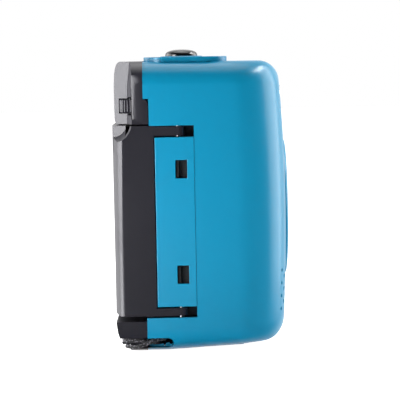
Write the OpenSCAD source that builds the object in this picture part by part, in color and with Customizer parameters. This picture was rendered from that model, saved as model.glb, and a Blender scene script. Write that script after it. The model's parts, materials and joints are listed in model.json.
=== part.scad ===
// Instant film camera, landscape body: front faces -Y, film leaves on +X, the door hinges on -X.
// Origin: middle of the base's footprint, on the surface the camera stands on.

/* [Casing] */
// Width from side to side
body_w = 124; // [122:1:126]
// Height of the casing without the shutter button
body_h = 100; // [99:1:102]
// Wall thickness of the moulded casing
wall = 2; // [1.8:0.1:2.2]
// Radius of the upright front corners
corner_r = 17; // [15:1:19]
// Radius of the long edges between the sides, the top and the base
side_r = 8; // [7:0.5:9]
// Radius of the edges round the front face
front_edge_r = 5; // [4:0.5:6]

/* [Lens] */
// Height of the lens axis above the base
lens_z = 45.3; // [44:0.1:46]
// Outer diameter of the ring round the lens barrel
ring_d = 51; // [50:0.5:52]
// Outer diameter of the first barrel
barrel_d = 43; // [42:0.5:43]

/* [Film] */
// Width of one film sheet
sheet_w = 54; // [54:54]
// Length of one film sheet, along the way it leaves
sheet_l = 86; // [86:86]
// Length of the cartridge
pack_l = 90; // [89:1:90]
// Height of the cartridge
pack_h = 61; // [60:1:61]
// Thickness of the cartridge
pack_t = 20; // [19:1:20]

/* [Door] */
// Inset of the hinge axis from the camera's side
hinge_inset = 2; // [2:2]

/* [Shutter button] */
// Diameter of the shutter button
button_d = 11.4; // [11:0.1:12]
// Travel of the shutter button
button_travel = 1.5; // [1:0.1:1.5]

/* [Strap] */
// Diameter of the thin braided cord
cord_d = 1.3; // [1.2:0.1:1.4]
// Diameter of the wrist loop's cord
loop_d = 1.9; // [1.8:0.1:2]

/* [Hidden] */
$fn = 48;

// Casing
half_w = body_w / 2;
shell_rear_y = 20.2;
corner_y = -28.5;
bulge_y = -29.5;
back_y = 31.3;
block_back_y = 30.3;
front_lift = 2;
base_flat_y = 4;
wall_share = 4;
top_drop = 0.4;

// Opening in the hinge side, which the door's two arms and the cover fill
arm_low = [13, 15.6];
arm_high = [74.8, 77.9];
side_open_y = 3;
side_open_z = [12.3, 78.2];
cover_z = [16.1, 74.3];
cover_y = [3.2, 16.45];

inner_wall_x = [-57.2, -56.2];

// Door hinge
hinge_x = -half_w + hinge_inset;
hinge_y = 8.3;
pin_r = 0.9;
boss_high = [78.4, 84];
boss_low = [8, 12.1];
door_front_y = 16.8;
door_z = [13, 78.2];
door_end_x = 56.5;

// Upper and lower blocks of the rear frame
block_low_z = 78.8;
block_high_z = 100.2;
foot_z = 11.1;

// Film path
film_y = 10.4;
pack_x = -40;
pack_z = 14.8;
pack_y = 8;
chamber_play = 0.4;

// Film drive
gear_m = 0.4;
roller_teeth = 14;
idler_teeth = 36;
pinion_teeth = 10;
roller_r = 2.65;
shaft_r = 1;
bearing_play = 0.04;
front_roller_at = [54.5, film_y - gear_m * roller_teeth / 2];
rear_roller_at = [54.5, film_y + gear_m * roller_teeth / 2];
idler_at = [46.5, 1.6];
pinion_at = [46.5, -7.6];
gear_z = [80, 82.4];
plate_z = [78.4, 79.6];
low_plate_z = [10.8, 12.2];

// Controls
button_x = -38;
button_y = 7;
spring_z = 93.3;
deck_z = 101.5;
deck_x = [-56, 2];
deck_y = [-8.8, 20];
wheel_at = [-54.4, 24.4];
wheel_r = 4;
wheel_z = [82.7, 87.3];

// Strap
strap_bar_at = [-54.6, 17.2];
strap_bar_r = 1.6;
strap_shelf_z = 8;
screws = [[-30, -12], [-30, 14], [40, -12], [40, 14]];
strap_slot_z = 3.4;
strap_slot_h = 3.8;
cord_route = [
    [-2, 27.5, 2.5], [-7, 27.5, 2.5], [-15, 26.9, 1.1], [-24, 26.8, 1.1], [-30, 27, 2],
    [-35, 27.7, 3.4], [-40, 28.4, 4.3], [-46, 28.5, 4.35], [-52, 28.55, 4.3], [-56.65, 28.55, 4.3],
    [-57.95, 28.2, 4.3], [-58.9, 27.25, 4.3], [-59.25, 25.95, 4.3], [-59.25, 24.2, 4.3],
    [-59.25, 22.5, 4.3], [-58.9, 21.2, 4.2], [-57.95, 20.25, 4.1], [-56.65, 19.9, 4],
    [-54.6, 19.9, 3.9], [-52.69, 19.11, 3.8], [-51.9, 17.2, 3.8], [-52.69, 15.29, 3.9],
    [-54.6, 14.5, 4.1], [-56.6, 14.8, 4.3], [-58.4, 15.9, 4.5], [-59.8, 17.7, 4.3],
    [-60.5, 20, 3.5], [-60.5, 22.3, 2.7], [-59.9, 24.2, 2.2], [-58.95, 26, 2.1],
    [-57.95, 27.15, 2.1], [-56.65, 27.55, 2], [-53, 27.6, 1.6], [-48, 27.6, 1.1], [-42, 27.7, 0.8],
    [-36, 28.1, 0.75], [-30, 28.4, 0.75], [-22, 28.45, 0.75], [-14, 28.6, 1.1], [-7, 28.9, 1.7],
    [-2, 28.9, 1.7]
];
loop_route = [
    [10, 27.2, 2.2], [14, 27.2, 2.2], [22, 27, 1.4], [32, 27, 1.1], [46, 27, 1.1], [58, 27.1, 1.1],
    [62.5, 26.3, 1.1], [65.2, 22.5, 1.1], [65.6, 16, 1.1], [65.6, 9, 1.1], [66.6, 2, 1.1],
    [71, -3.2, 1.1], [77.5, -3, 1.1], [82, 2.5, 1.1], [83, 10, 1.1], [81, 18.5, 1.1],
    [76, 25, 1.1], [69, 28.6, 1.1], [60, 29.4, 1.1], [48, 29.2, 1.1], [34, 29.15, 1.1],
    [22, 29.1, 1.4], [14, 29.2, 2.2], [10, 29.2, 2.2]
];
joiner_x = [-2, 10];
joiner_r = 2.15;
joiner_at = [28.2, 2.25];

blue = [0.1, 0.62, 0.8];
black = [0.1, 0.1, 0.12];
steel = [0.7, 0.7, 0.72];
dark = [0.18, 0.18, 0.2];

// ---------- shared shapes ----------

// A cylinder along X, from x0 to x1
module rod_x(x0, x1, y, z, r) {
    translate([x0, y, z])
        rotate([0, 90, 0])
            cylinder(r = r, h = x1 - x0);
}

// A cylinder along Y, from y0 to y1
module rod_y(y0, y1, x, z, r) {
    translate([x, y1, z])
        rotate([90, 0, 0])
            cylinder(r = r, h = y1 - y0);
}

// A cylinder along Z, from z[0] to z[1]
module rod_z(z, at, r) {
    translate([at[0], at[1], z[0]])
        cylinder(r = r, h = z[1] - z[0]);
}

// A box between two corners
module box(low, high) {
    translate(low)
        cube(high - low);
}

// A box with rounded corners seen along Y
module rounded_box_y(x, y, z, r) {
    translate([0, y[1], 0])
        rotate([90, 0, 0])
            linear_extrude(y[1] - y[0])
                rounded_rect(x, z, r);
}

// A box with rounded corners seen along Z
module rounded_box_z(x, y, z, r) {
    translate([0, 0, z[0]])
        linear_extrude(z[1] - z[0])
            rounded_rect(x, y, r);
}

// Rectangle with round corners, made of exact arcs
module rounded_rect(x, y, r) {
    translate([x[0] + r, y[0]])
        square([x[1] - x[0] - 2 * r, y[1] - y[0]]);
    translate([x[0], y[0] + r])
        square([x[1] - x[0], y[1] - y[0] - 2 * r]);
    for (cx = [x[0] + r, x[1] - r], cy = [y[0] + r, y[1] - r])
        translate([cx, cy])
            circle(r = r);
}

// A shape drawn in (y, z) and extruded along X
module along_x(x0, x1) {
    translate([x0, 0, 0])
        rotate([90, 0, 90])
            linear_extrude(x1 - x0)
                children();
}

// The casing's outer form, drawn inwards by inset and ending at rear_y
module casing_form(inset, rear_y) {
    edge = front_edge_r - inset / 2;
    side = side_r - inset;
    turn = corner_r - inset;
    hull($fn = 32) {
        for (side_x = [-1, 1], z = [front_lift + inset + edge, body_h - top_drop - inset - edge])
            translate([side_x * (half_w - corner_r), corner_y + corner_r, z])
                rotate_extrude()
                    translate([turn - edge, 0])
                        circle(r = edge);
        for (side_x = [-1, 1], z = [side_r, body_h - side_r])
            rod_y(base_flat_y, rear_y, side_x * (half_w - side_r), z, side);
        for (side_x = [-20, 0, 20])
            rod_z([10 + inset, 78 - inset], [side_x, bulge_y + inset + 8 + abs(side_x) / 60], 8);
    }
}

// A spur gear with straight-sided teeth, one tooth pointing at the angle phase
module gear(teeth, at, z, phase) {
    pitch_r = gear_m * teeth / 2;
    root_r = pitch_r - 1.1 * gear_m;
    tip_r = pitch_r + 0.75 * gear_m;
    root_half = 38 / teeth * 2.6;
    tip_half = 14 / teeth * 2.6;
    translate([at[0], at[1], z[0]])
        linear_extrude(z[1] - z[0])
            union() {
                circle(r = root_r);
                for (k = [0 : teeth - 1])
                    rotate(phase + k * 360 / teeth)
                        polygon([
                            0.9 * root_r * [cos(root_half), sin(root_half)],
                            root_r * [cos(root_half), sin(root_half)],
                            tip_r * [cos(tip_half), sin(tip_half)],
                            tip_r * [cos(tip_half), -sin(tip_half)],
                            root_r * [cos(root_half), -sin(root_half)],
                            0.9 * root_r * [cos(root_half), -sin(root_half)]
                        ]);
            }
}

// The angle of a tooth on a gear that meshes with another one
function mate_phase(phase, toward, teeth, mate_teeth) =
    toward + 180 - (phase - toward) * teeth / mate_teeth + 180 / mate_teeth;

function heading(from, to) = atan2(to[1] - from[1], to[0] - from[0]);

// A point on the smooth curve through four route points
function curve(a, b, c, d, t) =
    0.5 * (2 * b + (c - a) * t + (2 * a - 5 * b + 4 * c - d) * t * t
        + (3 * b - a - 3 * c + d) * t * t * t);

function smooth(route, steps) = [
    for (i = [0 : len(route) - 2], s = [0 : steps - 1])
        curve(route[max(i - 1, 0)], route[i], route[i + 1], route[min(i + 2, len(route) - 1)], s / steps),
    route[len(route) - 1]
];

function unit(v) = v / norm(v);

// A round tube swept through a list of points
module tube(points, d, sides = 8) {
    last = len(points) - 1;
    rings = [
        for (i = [0 : last])
            let (
                ahead = unit(points[min(i + 1, last)] - points[max(i - 1, 0)]),
                across = unit(cross(ahead, [0, 0, 1])),
                up = cross(across, ahead)
            )
            for (k = [0 : sides - 1])
                points[i] + d / 2 * (cos(k * 360 / sides) * across + sin(k * 360 / sides) * up)
    ];
    skin = [
        for (i = [0 : last - 1], k = [0 : sides - 1])
            let (n = (k + 1) % sides)
            [i * sides + k, i * sides + n, (i + 1) * sides + n, (i + 1) * sides + k]
    ];
    start_cap = [for (k = [sides - 1 : -1 : 0]) k];
    end_cap = [for (k = [0 : sides - 1]) last * sides + k];
    polyhedron(points = rings, faces = concat(skin, [start_cap, end_cap]));
}

// ---------- casing ----------

// The whole blue moulding, which the five nodes after it share out by walls
module moulding() {
    difference() {
        union() {
            difference() {
                casing_form(0, shell_rear_y);
                casing_form(wall, shell_rear_y + 10);
            }
            // bosses that hold the hinge pins
            rod_z(boss_high, [hinge_x, hinge_y], hinge_inset);
            rod_z(boss_low, [hinge_x, hinge_y], hinge_inset);
            // boss round the tripod bush
            rod_z([0.5, 7.4], [20, -2], 6.6);
        }
        box([-half_w - 1, side_open_y, side_open_z[0]], [-half_w + 6, 40, side_open_z[1]]);
        // strap slot, round at its front end
        hull() {
            rod_x(-half_w - 1, -half_w + 6, 13.2, strap_slot_z, strap_slot_h / 2);
            rod_x(-half_w - 1, -half_w + 6, 30, strap_slot_z, strap_slot_h / 2);
        }
        // black tab of the rear frame above the upper arm
        box([-half_w - 1, 18.3, 78], [-half_w + 2.6, 30, 87.4]);
        for (z = [boss_high, boss_low])
            rod_z([z[0] - 0.1, z[1] + 0.1], [hinge_x, hinge_y], pin_r);
        rod_y(-40, -20, 0, lens_z, ring_d / 2 + 0.1);
        rounded_box_y([-39, -9], [-40, -20], [79, 91], 3);
        rounded_box_y([15, 29], [-40, -20], [80, 91], 3);
        for (x = [-1, 6])
            rod_y(-40, -20, x, 86, 1.9);
        box([half_w - 8, 7.6, 15.8], [half_w + 1, 13.2, 74.8]);
        rod_z([-1, 10], [20, -2], 5);
        box([-54.2, -13.2, -1], [-44.8, 14.9, 4]);
        rod_z([90, 110], [button_x, button_y], 3.5);
        rod_z([deck_z - 1.2 - button_travel, 110], [button_x, button_y], button_d / 2 + 0.3);
        rod_z([90, 110], [-14, button_y], 3.1);
        for (at = screws)
            rod_z([-1, 8], at, 1.25);
        for (row = [0 : 3], column = [0 : 1])
            translate([-55 + column * 3.6, -23 - column * 2.2, 12.5 + row * 4.6 + column * 2.3])
                rotate([90, 0, -54 + column * 18])
                    cylinder(r = 0.8, h = 8, center = true);
    }
}

// Spaces that share the moulding out: top, base, hinge side and exit side
module top_space() {
    box([-70, -40, body_h - wall_share], [70, 40, body_h + 10]);
}

module base_space() {
    box([-70, -40, -1], [70, 40, wall_share]);
    box([8, -14, -1], [32, 10, wall_share + 6]);
}

module side_space(side) {
    scale([side, 1, 1])
        box([half_w - 1.5 * wall_share, -40, wall_share], [70, 40, body_h - wall_share]);
}

module front_shell() {
    color(blue)
    difference() {
        moulding();
        top_space();
        base_space();
        side_space(-1);
        side_space(1);
    }
}

module shell_top_wall() {
    color(blue)
    intersection() {
        moulding();
        top_space();
    }
}

module shell_base_wall() {
    color(blue)
    intersection() {
        moulding();
        base_space();
    }
}

module shell_hinge_wall() {
    color(blue)
    intersection() {
        moulding();
        side_space(-1);
    }
}

module shell_exit_wall() {
    color(blue)
    intersection() {
        moulding();
        side_space(1);
    }
}

module hinge_side_cover() {
    color(blue)
    difference() {
        box([-half_w, cover_y[0], cover_z[0]], [-half_w + 1.9, cover_y[1], cover_z[1]]);
        for (z = [[24, 30.2], [60.2, 66.5]])
            box([-half_w - 1, 5.5, z[0]], [-half_w + 3, 9.5, z[1]]);
    }
}

module cover_clips() {
    color(black)
    for (z = [[24, 30.2], [60.2, 66.5]]) {
        box([-half_w + 1.95, 4.6, z[0] - 1], [inner_wall_x[0] - 0.05, 11.5, z[1] + 1]);
        box([-half_w + 0.7, 8.3, z[0] + 0.2], [-half_w + 2.1, 9.3, z[1] - 0.2]);
    }
}

module top_deck() {
    color(blue)
    difference() {
        rounded_box_z(deck_x, deck_y, [body_h, deck_z], 8);
        rod_z([90, 110], [button_x, button_y], 7.8);
        rod_z([90, 110], [-14, button_y], 3.1);
    }
}

module shutter_collar() {
    color(blue)
    difference() {
        rod_z([body_h, deck_z + 0.3], [button_x, button_y], 7.7);
        rod_z([90, 110], [button_x, button_y], button_d / 2 + 0.3);
    }
}

// Plan outline of the upper block, with the thumb rest cut into its -X corner
module upper_block_outline(t) {
    polygon([
        [-half_w + t, shell_rear_y], [-half_w + t, 22.9], [-61.2 + t, 23.9 - t / 2],
        [-55.5 + t, 25.8 - t], [-52.5 + t, block_back_y - t], [56 - t, block_back_y - t],
        [60 - t, 29.5 - t], [half_w - t, 26 - t], [half_w - t, shell_rear_y]
    ]);
}

// The scoop that carries the thumb rest down into the top of the door
module thumb_scoop() {
    translate([-half_w - 0.01, 29.7, 79.5])
        rotate([0, 90, 0])
            cylinder(r1 = 7.1, r2 = 4.9, h = 6.5);
}

// Side outline of the foot, in (y, z)
module foot_outline() {
    polygon([
        [shell_rear_y, 0], [25.1, 0], [28.6, 1.6], [29.5, 4.7], [30.3, 7.4], [30.8, foot_z],
        [shell_rear_y, foot_z]
    ]);
}

module rear_frame() {
    color(black)
    difference() {
        intersection() {
            rounded_box_y([-half_w, half_w], [-20, 40], [0, block_high_z], side_r);
            union() {
                // upper block
                difference() {
                    translate([0, 0, block_low_z])
                        linear_extrude(block_high_z - block_low_z)
                            upper_block_outline(0);
                    translate([0, 0, block_low_z + 2])
                        linear_extrude(block_high_z - block_low_z - 4)
                            intersection() {
                                upper_block_outline(2);
                                translate([-49, 0])
                                    square([108, 40]);
                            }
                }
                // foot
                difference() {
                    along_x(-half_w, half_w)
                        foot_outline();
                    box([-52, 0, 2], [60, 24.6, foot_z - 1.6]);
                }
                // pillar at the free end of the door
                box([57, shell_rear_y, foot_z], [half_w, 29.6, block_low_z]);
                // flange behind the casing
                rounded_box_y([-59.8, 59.8], [18.2, shell_rear_y], [2.2, 97.8], side_r - 2.2);
                // wall behind the hinge, which holds the cover's clips
                box([inner_wall_x[0], 0, 11], [inner_wall_x[1], 18.3, 79]);
                // shelf that holds the top of the strap bar
                box([-57, 14.6, strap_shelf_z], [-50, 18.3, strap_shelf_z + 1.6]);
                // tab that reaches over the upper hinge arm
                box([-half_w, 18.5, block_low_z], [-half_w + 2.4, shell_rear_y, 87.2]);
            }
        }
        // cut for the film chamber
        box([-43.7, 10, 12.4], [52, 30, 78.6]);
        box([-70, 10, 12.3], [-59.55, 30, 78.4]);
        // space round the strap bar
        box([-70, 12, -1], [-50, 20.3, strap_shelf_z]);
        // channel that the cord lies in
        box([-70, 19, -1], [-57.8, 40, 5.4]);
        box([-59.4, 20.1, 2], [-51, 22.2, 5.4]);
        box([-59, 27.3, 3.6], [-33, 40, 5.2]);
        box([-59, 26.3, -1], [-39, 40, 2.9]);
        // rebate that the strap is tucked in
        box([-40, 25.9, -1], [70, 40, 4.6]);
        // guide of the door latch
        box([56.9, 26.8, 37.5], [60.3, 31, 48.5]);
        // cut behind the upper block
        box([-50, 15, 80.8], [57, shell_rear_y + 0.1, 96]);
        // thumbwheel pocket and axle
        rod_z([wheel_z[0] - 0.3, wheel_z[1] + 0.3], wheel_at, wheel_r + 0.3);
        rod_z([wheel_z[0] - 2.6, wheel_z[1] + 2.6], wheel_at, shaft_r + bearing_play);
        box([-62.5, 24, 81.8], [-57, 33, 88.1]);
        // eyepiece, display and buttons on the rear
        rod_y(0, 40, 22, 88.5, 7.1);
        box([-14, 25, 83], [8, 40, 95]);
        for (x = [-34, -24])
            rod_y(10, 40, x, 89, 2.85);
    }
}

module roller_bracket() {
    color(steel)
    difference() {
        union() {
            box([38, -15, plate_z[0]], [59.6, 17, plate_z[1]]);
            box([51.9, 3, low_plate_z[0]], [59.6, 17, low_plate_z[1]]);
            box([51.9, 2.6, low_plate_z[0]], [59.6, 3.6, plate_z[1]]);
        }
        for (at = [front_roller_at, rear_roller_at])
            rod_z([0, 90], at, shaft_r + bearing_play);
        rod_z([60, 90], pinion_at, 2.4);
        rod_z([60, 90], idler_at, shaft_r + bearing_play);
    }
}

module film_motor() {
    color(steel)
    rod_z([50, plate_z[0]], pinion_at, 6.5);
}

module hinge_pins() {
    color(steel) {
        rod_z([arm_high[0] - 0.4, boss_high[1]], [hinge_x, hinge_y], pin_r);
        rod_z([boss_low[0], arm_low[1] + 0.4], [hinge_x, hinge_y], pin_r);
    }
}

module strap_bar() {
    color(black)
    rod_z([wall + 0.45, strap_shelf_z - 0.05], strap_bar_at, strap_bar_r);
}

module tripod_bush() {
    color(steel)
    difference() {
        rod_z([0, 7], [20, -2], 5);
        rod_z([-1, 5.6], [20, -2], 3.2);
    }
}

module casing_screws() {
    color(steel)
    for (at = screws)
        rod_z([0.3, 6], at, 1.2);
}

// ---------- film ----------

module film_chamber() {
    p = chamber_play;
    color(dark)
    difference() {
        box([pack_x - 3, 6.4, pack_z - 2.2], [51.6, 28.2, pack_z + pack_h + 2.2]);
        box([pack_x - p, pack_y - 0.2, pack_z - p], [pack_x + pack_l + p, 40, pack_z + pack_h + p]);
        box([-31, 0, lens_z - 23], [31, 20, lens_z + 23]);
        box([45, film_y - 1, lens_z - 28], [60, film_y + 1, lens_z + 28]);
    }
}

module light_cone() {
    color(dark)
    difference() {
        hull() {
            box([-33, 5.4, lens_z - 25], [33, 6.3, lens_z + 25]);
            box([-14, -10.6, lens_z - 13], [14, -10, lens_z + 13]);
        }
        hull() {
            box([-31.5, 6, lens_z - 23.5], [31.5, 7, lens_z + 23.5]);
            box([-12, -11.6, lens_z - 11], [12, -10.4, lens_z + 11]);
        }
    }
}

module film_cartridge() {
    color([0.12, 0.12, 0.13])
    difference() {
        box([pack_x, pack_y, pack_z], [pack_x + pack_l, pack_y + pack_t, pack_z + pack_h]);
        box([pack_x + 1.5, pack_y + 1, pack_z + 1.5],
            [pack_x + pack_l - 1.2, pack_y + pack_t - 1.5, pack_z + pack_h - 1.5]);
        box([-31, 0, lens_z - 23], [31, 12, lens_z + 23]);
        box([45, film_y - 0.8, lens_z - 27.5], [60, film_y + 0.8, lens_z + 27.5]);
        for (x = [-20, 30])
            box([x - 4, pack_y + 15, lens_z - 18], [x + 4, 40, lens_z + 18]);
    }
}

module film_stack() {
    color([0.9, 0.9, 0.88])
    box([-37.5, pack_y + 1.1, lens_z - sheet_w / 2],
        [-37.5 + sheet_l, pack_y + 6.6, lens_z + sheet_w / 2]);
}

module exit_guide() {
    color(black)
    difference() {
        box([half_w - 2.4, 7.8, 16], [half_w, 13, 74.6]);
        box([half_w - 5, film_y - 1.2, lens_z - 28], [half_w + 1, film_y + 1.2, lens_z + 28]);
    }
}

// ---------- lens ----------

module lens_ring() {
    color(blue)
    translate([0, 0, lens_z])
        rotate([90, 0, 0])
            rotate_extrude($fn = 96)
                polygon([
                    [barrel_d / 2 + 0.05, 24.6], [ring_d / 2 + 1.4, 24.6], [ring_d / 2 + 1.4, 25.8],
                    [ring_d / 2, 26.4], [ring_d / 2, 29.4], [ring_d / 2 - 0.4, 29.9],
                    [ring_d / 2 - 1.2, 30.4], [ring_d / 2 - 2.4, 30.6],
                    [barrel_d / 2 + 0.6, 30.55], [barrel_d / 2 + 0.05, 30.2]
                ]);
}

// A barrel that is open behind, with a front plate pierced by a round hole
module barrel(r, t, y0, y1, hole) {
    difference() {
        rod_y(y0, y1, 0, lens_z, r);
        rod_y(y0 + 2, y1 + 1, 0, lens_z, r - t);
        rod_y(y0 - 1, y0 + 3, 0, lens_z, hole);
    }
}

module outer_barrel() {
    color(dark)
    barrel(barrel_d / 2, 1.6, -29.6, -12, barrel_d / 2 - 3.3);
}

module inner_barrel() {
    color(dark)
    union() {
        barrel(barrel_d / 2 - 3.35, 1.5, -29.2, -12.4, 7);
        guide_collar();
    }
}

// Guide collar that rides in the outer barrel
module guide_collar() {
    difference() {
        rod_y(-15, -12.4, 0, lens_z, barrel_d / 2 - 1.65);
        rod_y(-16, -11, 0, lens_z, barrel_d / 2 - 4);
    }
}

module shutter_plate() {
    color(black)
    difference() {
        rod_y(-22, -19, 0, lens_z, barrel_d / 2 - 4.95);
        rod_y(-23, -18, 0, lens_z, 2.4);
    }
}

module lens_glass() {
    color([0.5, 0.6, 0.7, 0.5])
    rod_y(-28.5, -25.5, 0, lens_z, 6.95);
}

// ---------- flash, viewfinder and electronics ----------

module flash_window() {
    color([0.9, 0.92, 0.95, 0.6])
    rounded_box_y([-38.9, -9.1], [-27.6, -26.7], [79.1, 90.9], 2.9);
}

module flash_reflector() {
    color(steel)
    difference() {
        box([-37.5, -26.6, 79.8], [-10.5, -19, 90.2]);
        hull() {
            box([-36.9, -27, 80.4], [-11.1, -26.5, 89.6]);
            rod_x(-36.9, -11.1, -21.6, 85, 2);
        }
    }
}

module flash_tube() {
    color([0.9, 0.9, 0.9])
    rod_x(-36.7, -11.3, -21.8, 85, 1.4);
}

module flash_capacitor() {
    color(black)
    rod_x(-42, -12, -9.5, 83.4, 6);
}

module viewfinder_window() {
    color([0.6, 0.7, 0.75, 0.4])
    rounded_box_y([15.1, 28.9], [-27.6, -26.7], [80.1, 90.9], 2.9);
}

module viewfinder_tube() {
    color(dark)
    difference() {
        box([14.6, -25, 80], [29.4, 18, 91.6]);
        box([16.2, -28, 81.4], [27.8, 19, 90.2]);
    }
}

module viewfinder_eyepiece() {
    color(black)
    difference() {
        union() {
            rod_y(26, 31.4, 22, 88.5, 7);
            rod_y(18.2, 26, 22, 88.5, 6.2);
        }
        rod_y(10, 29.6, 22, 88.5, 4.6);
        rod_y(29, 40, 22, 88.5, 5.2);
    }
}

module viewfinder_ocular() {
    color([0.6, 0.7, 0.75, 0.4])
    rod_y(27.4, 29, 22, 88.5, 4.55);
}

module light_sensor_windows() {
    color([0.2, 0.1, 0.1])
    for (x = [-1, 6])
        rod_y(-28, -26.6, x, 86, 1.85);
}

module circuit_board() {
    color([0.05, 0.35, 0.2])
    box([-48, -3, 90.6], [10, 16, 92]);
}

module shutter_switch() {
    color(steel)
    box([button_x - 3, button_y - 3, 92.1], [button_x + 3, button_y + 3, 93.2]);
}

module battery() {
    color([0.3, 0.3, 0.35])
    box([-53, -12.6, 3.6], [-46.6, 13.4, 42]);
}

module battery_contacts() {
    color([0.85, 0.7, 0.3])
    for (y = [-8, -1, 6])
        box([-51, y, 42.2], [-48.6, y + 1.5, 45]);
}

module counter_display() {
    color([0.1, 0.14, 0.12])
    box([-13.9, 28.6, 83.1], [7.9, 30.2, 94.9]);
}

// ---------- door ----------

// Plan outline of the door: side wall, rounded -X corner and the rear panel
module door_outline() {
    fall = 2.3;
    fall_x = 17;
    polygon(concat(
        [[-half_w, door_front_y], [-half_w, 27.4], [-61.3, 28.7]],
        [for (k = [0 : 6]) [-61 + fall_x * k / 6, back_y + 0.2 - fall * pow(1 - k / 6, 2)]],
        [[52, back_y], [55, 30.8], [door_end_x, 29.4], [door_end_x, 28.6], [-58.6, 28.6],
         [hinge_x, 27.2], [hinge_x, door_front_y]]
    ));
}

module film_door() {
    color(black)
    difference() {
        union() {
            difference() {
                translate([0, 0, door_z[0]])
                    linear_extrude(door_z[1] - door_z[0])
                        door_outline();
                thumb_scoop();
            }
            // backing that closes the scoop
            intersection() {
                translate([-55.4, 26, door_z[1] - 9])
                    cube([5, back_y - 26.4, 9]);
                box([-60, 20, 60], [0, back_y, door_z[1]]);
            }
            for (z = [arm_low, arm_high]) {
                box([-half_w, hinge_y, z[0]], [hinge_x, door_front_y + 1, z[1]]);
                rod_z(z, [hinge_x, hinge_y], hinge_inset);
            }
            // lip that the latch catches
            box([52.2, 25.6, 40], [door_end_x, 28.7, 50]);
        }
        for (z = [arm_low, arm_high])
            rod_z([z[0] - 1, z[1] + 1], [hinge_x, hinge_y], pin_r + 0.05);
        // window over the film counter, and the seat of its glazing
        rounded_box_y([2, 14], [20, 40], [36, 54], 2);
        // slot for the latch's nose
        box([53, 26.6, 41], [door_end_x + 1, 27.8, 49]);
    }
}

module pressure_springs() {
    color(steel)
    for (x = [-20, 30])
        along_x(x - 3, x + 3)
            polygon([
                [28.5, lens_z - 16], [28.1, lens_z - 16], [25.4, lens_z - 4], [25.4, lens_z + 4],
                [28.1, lens_z + 16], [28.5, lens_z + 16], [28.5, lens_z + 15], [25.9, lens_z + 3.6],
                [25.9, lens_z - 3.6], [28.5, lens_z - 15]
            ]);
}

module film_check_window() {
    color([0.9, 0.6, 0.1, 0.6])
    rounded_box_y([2.1, 13.9], [28.8, 31.1], [36.1, 53.9], 1.9);
}

module door_seal() {
    color([0.05, 0.05, 0.05])
    difference() {
        box([-43, 28.25, 13.6], [51.4, 28.55, 77.4]);
        box([-39.6, 20, 15], [49.8, 40, 75.6]);
    }
}

module door_latch() {
    color(dark)
    union() {
        box([57.8, 27, 42], [60, 29.8, 48]);
        box([56.75, 27, 42], [57.9, 27.6, 48]);
        box([57.4, 29.7, 37], [61.4, 30.9, 52]);
        for (z = [39 : 2 : 50])
            box([57.6, 30.8, z - 0.5], [61, 31.4, z + 0.5]);
    }
}

// ---------- controls ----------

module shutter_button() {
    r = button_d / 2;
    dome_r = 22;
    top_z = 104.1;
    color(black)
    intersection() {
        union() {
            rod_z([deck_z - 1, 120], [button_x, button_y], r);
            rod_z([96, deck_z], [button_x, button_y], 3.2);
        }
        translate([button_x, button_y, top_z - dome_r])
            sphere(r = dome_r, $fn = 96);
    }
}

module shutter_spring() {
    color(steel)
    difference() {
        rod_z([spring_z, 96], [button_x, button_y], 2.6);
        rod_z([spring_z - 1, 97], [button_x, button_y], 2);
    }
}

module power_button() {
    color(black)
    union() {
        rod_z([96, deck_z + 0.2], [-14, button_y], 3);
        rod_z([96, 97], [-14, button_y], 4);
    }
}

// A round push button on the rear, centred on x
module mode_button(x) {
    color(black)
    union() {
        rod_y(26, block_back_y + 0.15, x, 89, 2.8);
        rod_y(26, 27.6, x, 89, 3.6);
    }
}

module mode_button_left() {
    mode_button(-24);
}

module mode_button_right() {
    mode_button(-34);
}

module thumbwheel() {
    color(black)
    union() {
        difference() {
            rod_z(wheel_z, wheel_at, wheel_r);
            for (k = [0 : 15])
                rod_z([wheel_z[0] - 1, wheel_z[1] + 1],
                    wheel_at + (wheel_r + 0.15) * [cos(k * 22.5), sin(k * 22.5)], 0.4);
        }
        rod_z([wheel_z[0] - 2.4, wheel_z[1] + 2.4], wheel_at, shaft_r);
    }
}

// ---------- film drive ----------

module roller(at, shaft_top) {
    rod_z([lens_z - 29, lens_z + 29], at, roller_r);
    rod_z([low_plate_z[0], shaft_top], at, shaft_r);
}

front_phase = 90;
rear_phase = mate_phase(front_phase, 90, roller_teeth, roller_teeth);
idler_phase = mate_phase(front_phase, heading(front_roller_at, idler_at), roller_teeth, idler_teeth);
pinion_phase = mate_phase(idler_phase, heading(idler_at, pinion_at), idler_teeth, pinion_teeth);

module front_roller() {
    color(steel)
    union() {
        roller(front_roller_at, gear_z[1]);
        gear(roller_teeth, front_roller_at, gear_z, front_phase);
    }
}

module rear_roller() {
    color(steel)
    union() {
        roller(rear_roller_at, gear_z[1]);
        gear(roller_teeth, rear_roller_at, gear_z, rear_phase);
    }
}

module idler_gear() {
    color([0.9, 0.9, 0.85])
    union() {
        gear(idler_teeth, idler_at, gear_z, idler_phase);
        rod_z([plate_z[0], gear_z[0]], idler_at, shaft_r);
    }
}

module motor_pinion() {
    color([0.85, 0.7, 0.3])
    union() {
        gear(pinion_teeth, pinion_at, gear_z, pinion_phase);
        rod_z([plate_z[0] + 0.05, gear_z[0]], pinion_at, 1.2);
    }
}

module battery_door() {
    color(blue)
    union() {
        along_x(-54, -45)
            polygon([[13.2, 0.2], [-13, 1.6], [-13, 3.3], [13.2, 2.1]]);
        rod_x(-53.5, -45.5, 13.4, 1.4, 1.1);
    }
}

// ---------- strap ----------

module strap_cord() {
    color(black)
    tube(smooth(cord_route, 1), cord_d);
}

module strap_joiner() {
    color(black)
    difference() {
        rod_x(joiner_x[0], joiner_x[1], joiner_at[0], joiner_at[1], joiner_r);
        for (side = [-1, 1])
            rod_x(8, 12, joiner_at[0] + side, joiner_at[1] - 0.05, loop_d / 2);
    }
}

module wrist_loop() {
    color(black)
    tube(smooth(loop_route, 1), loop_d);
}

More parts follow.
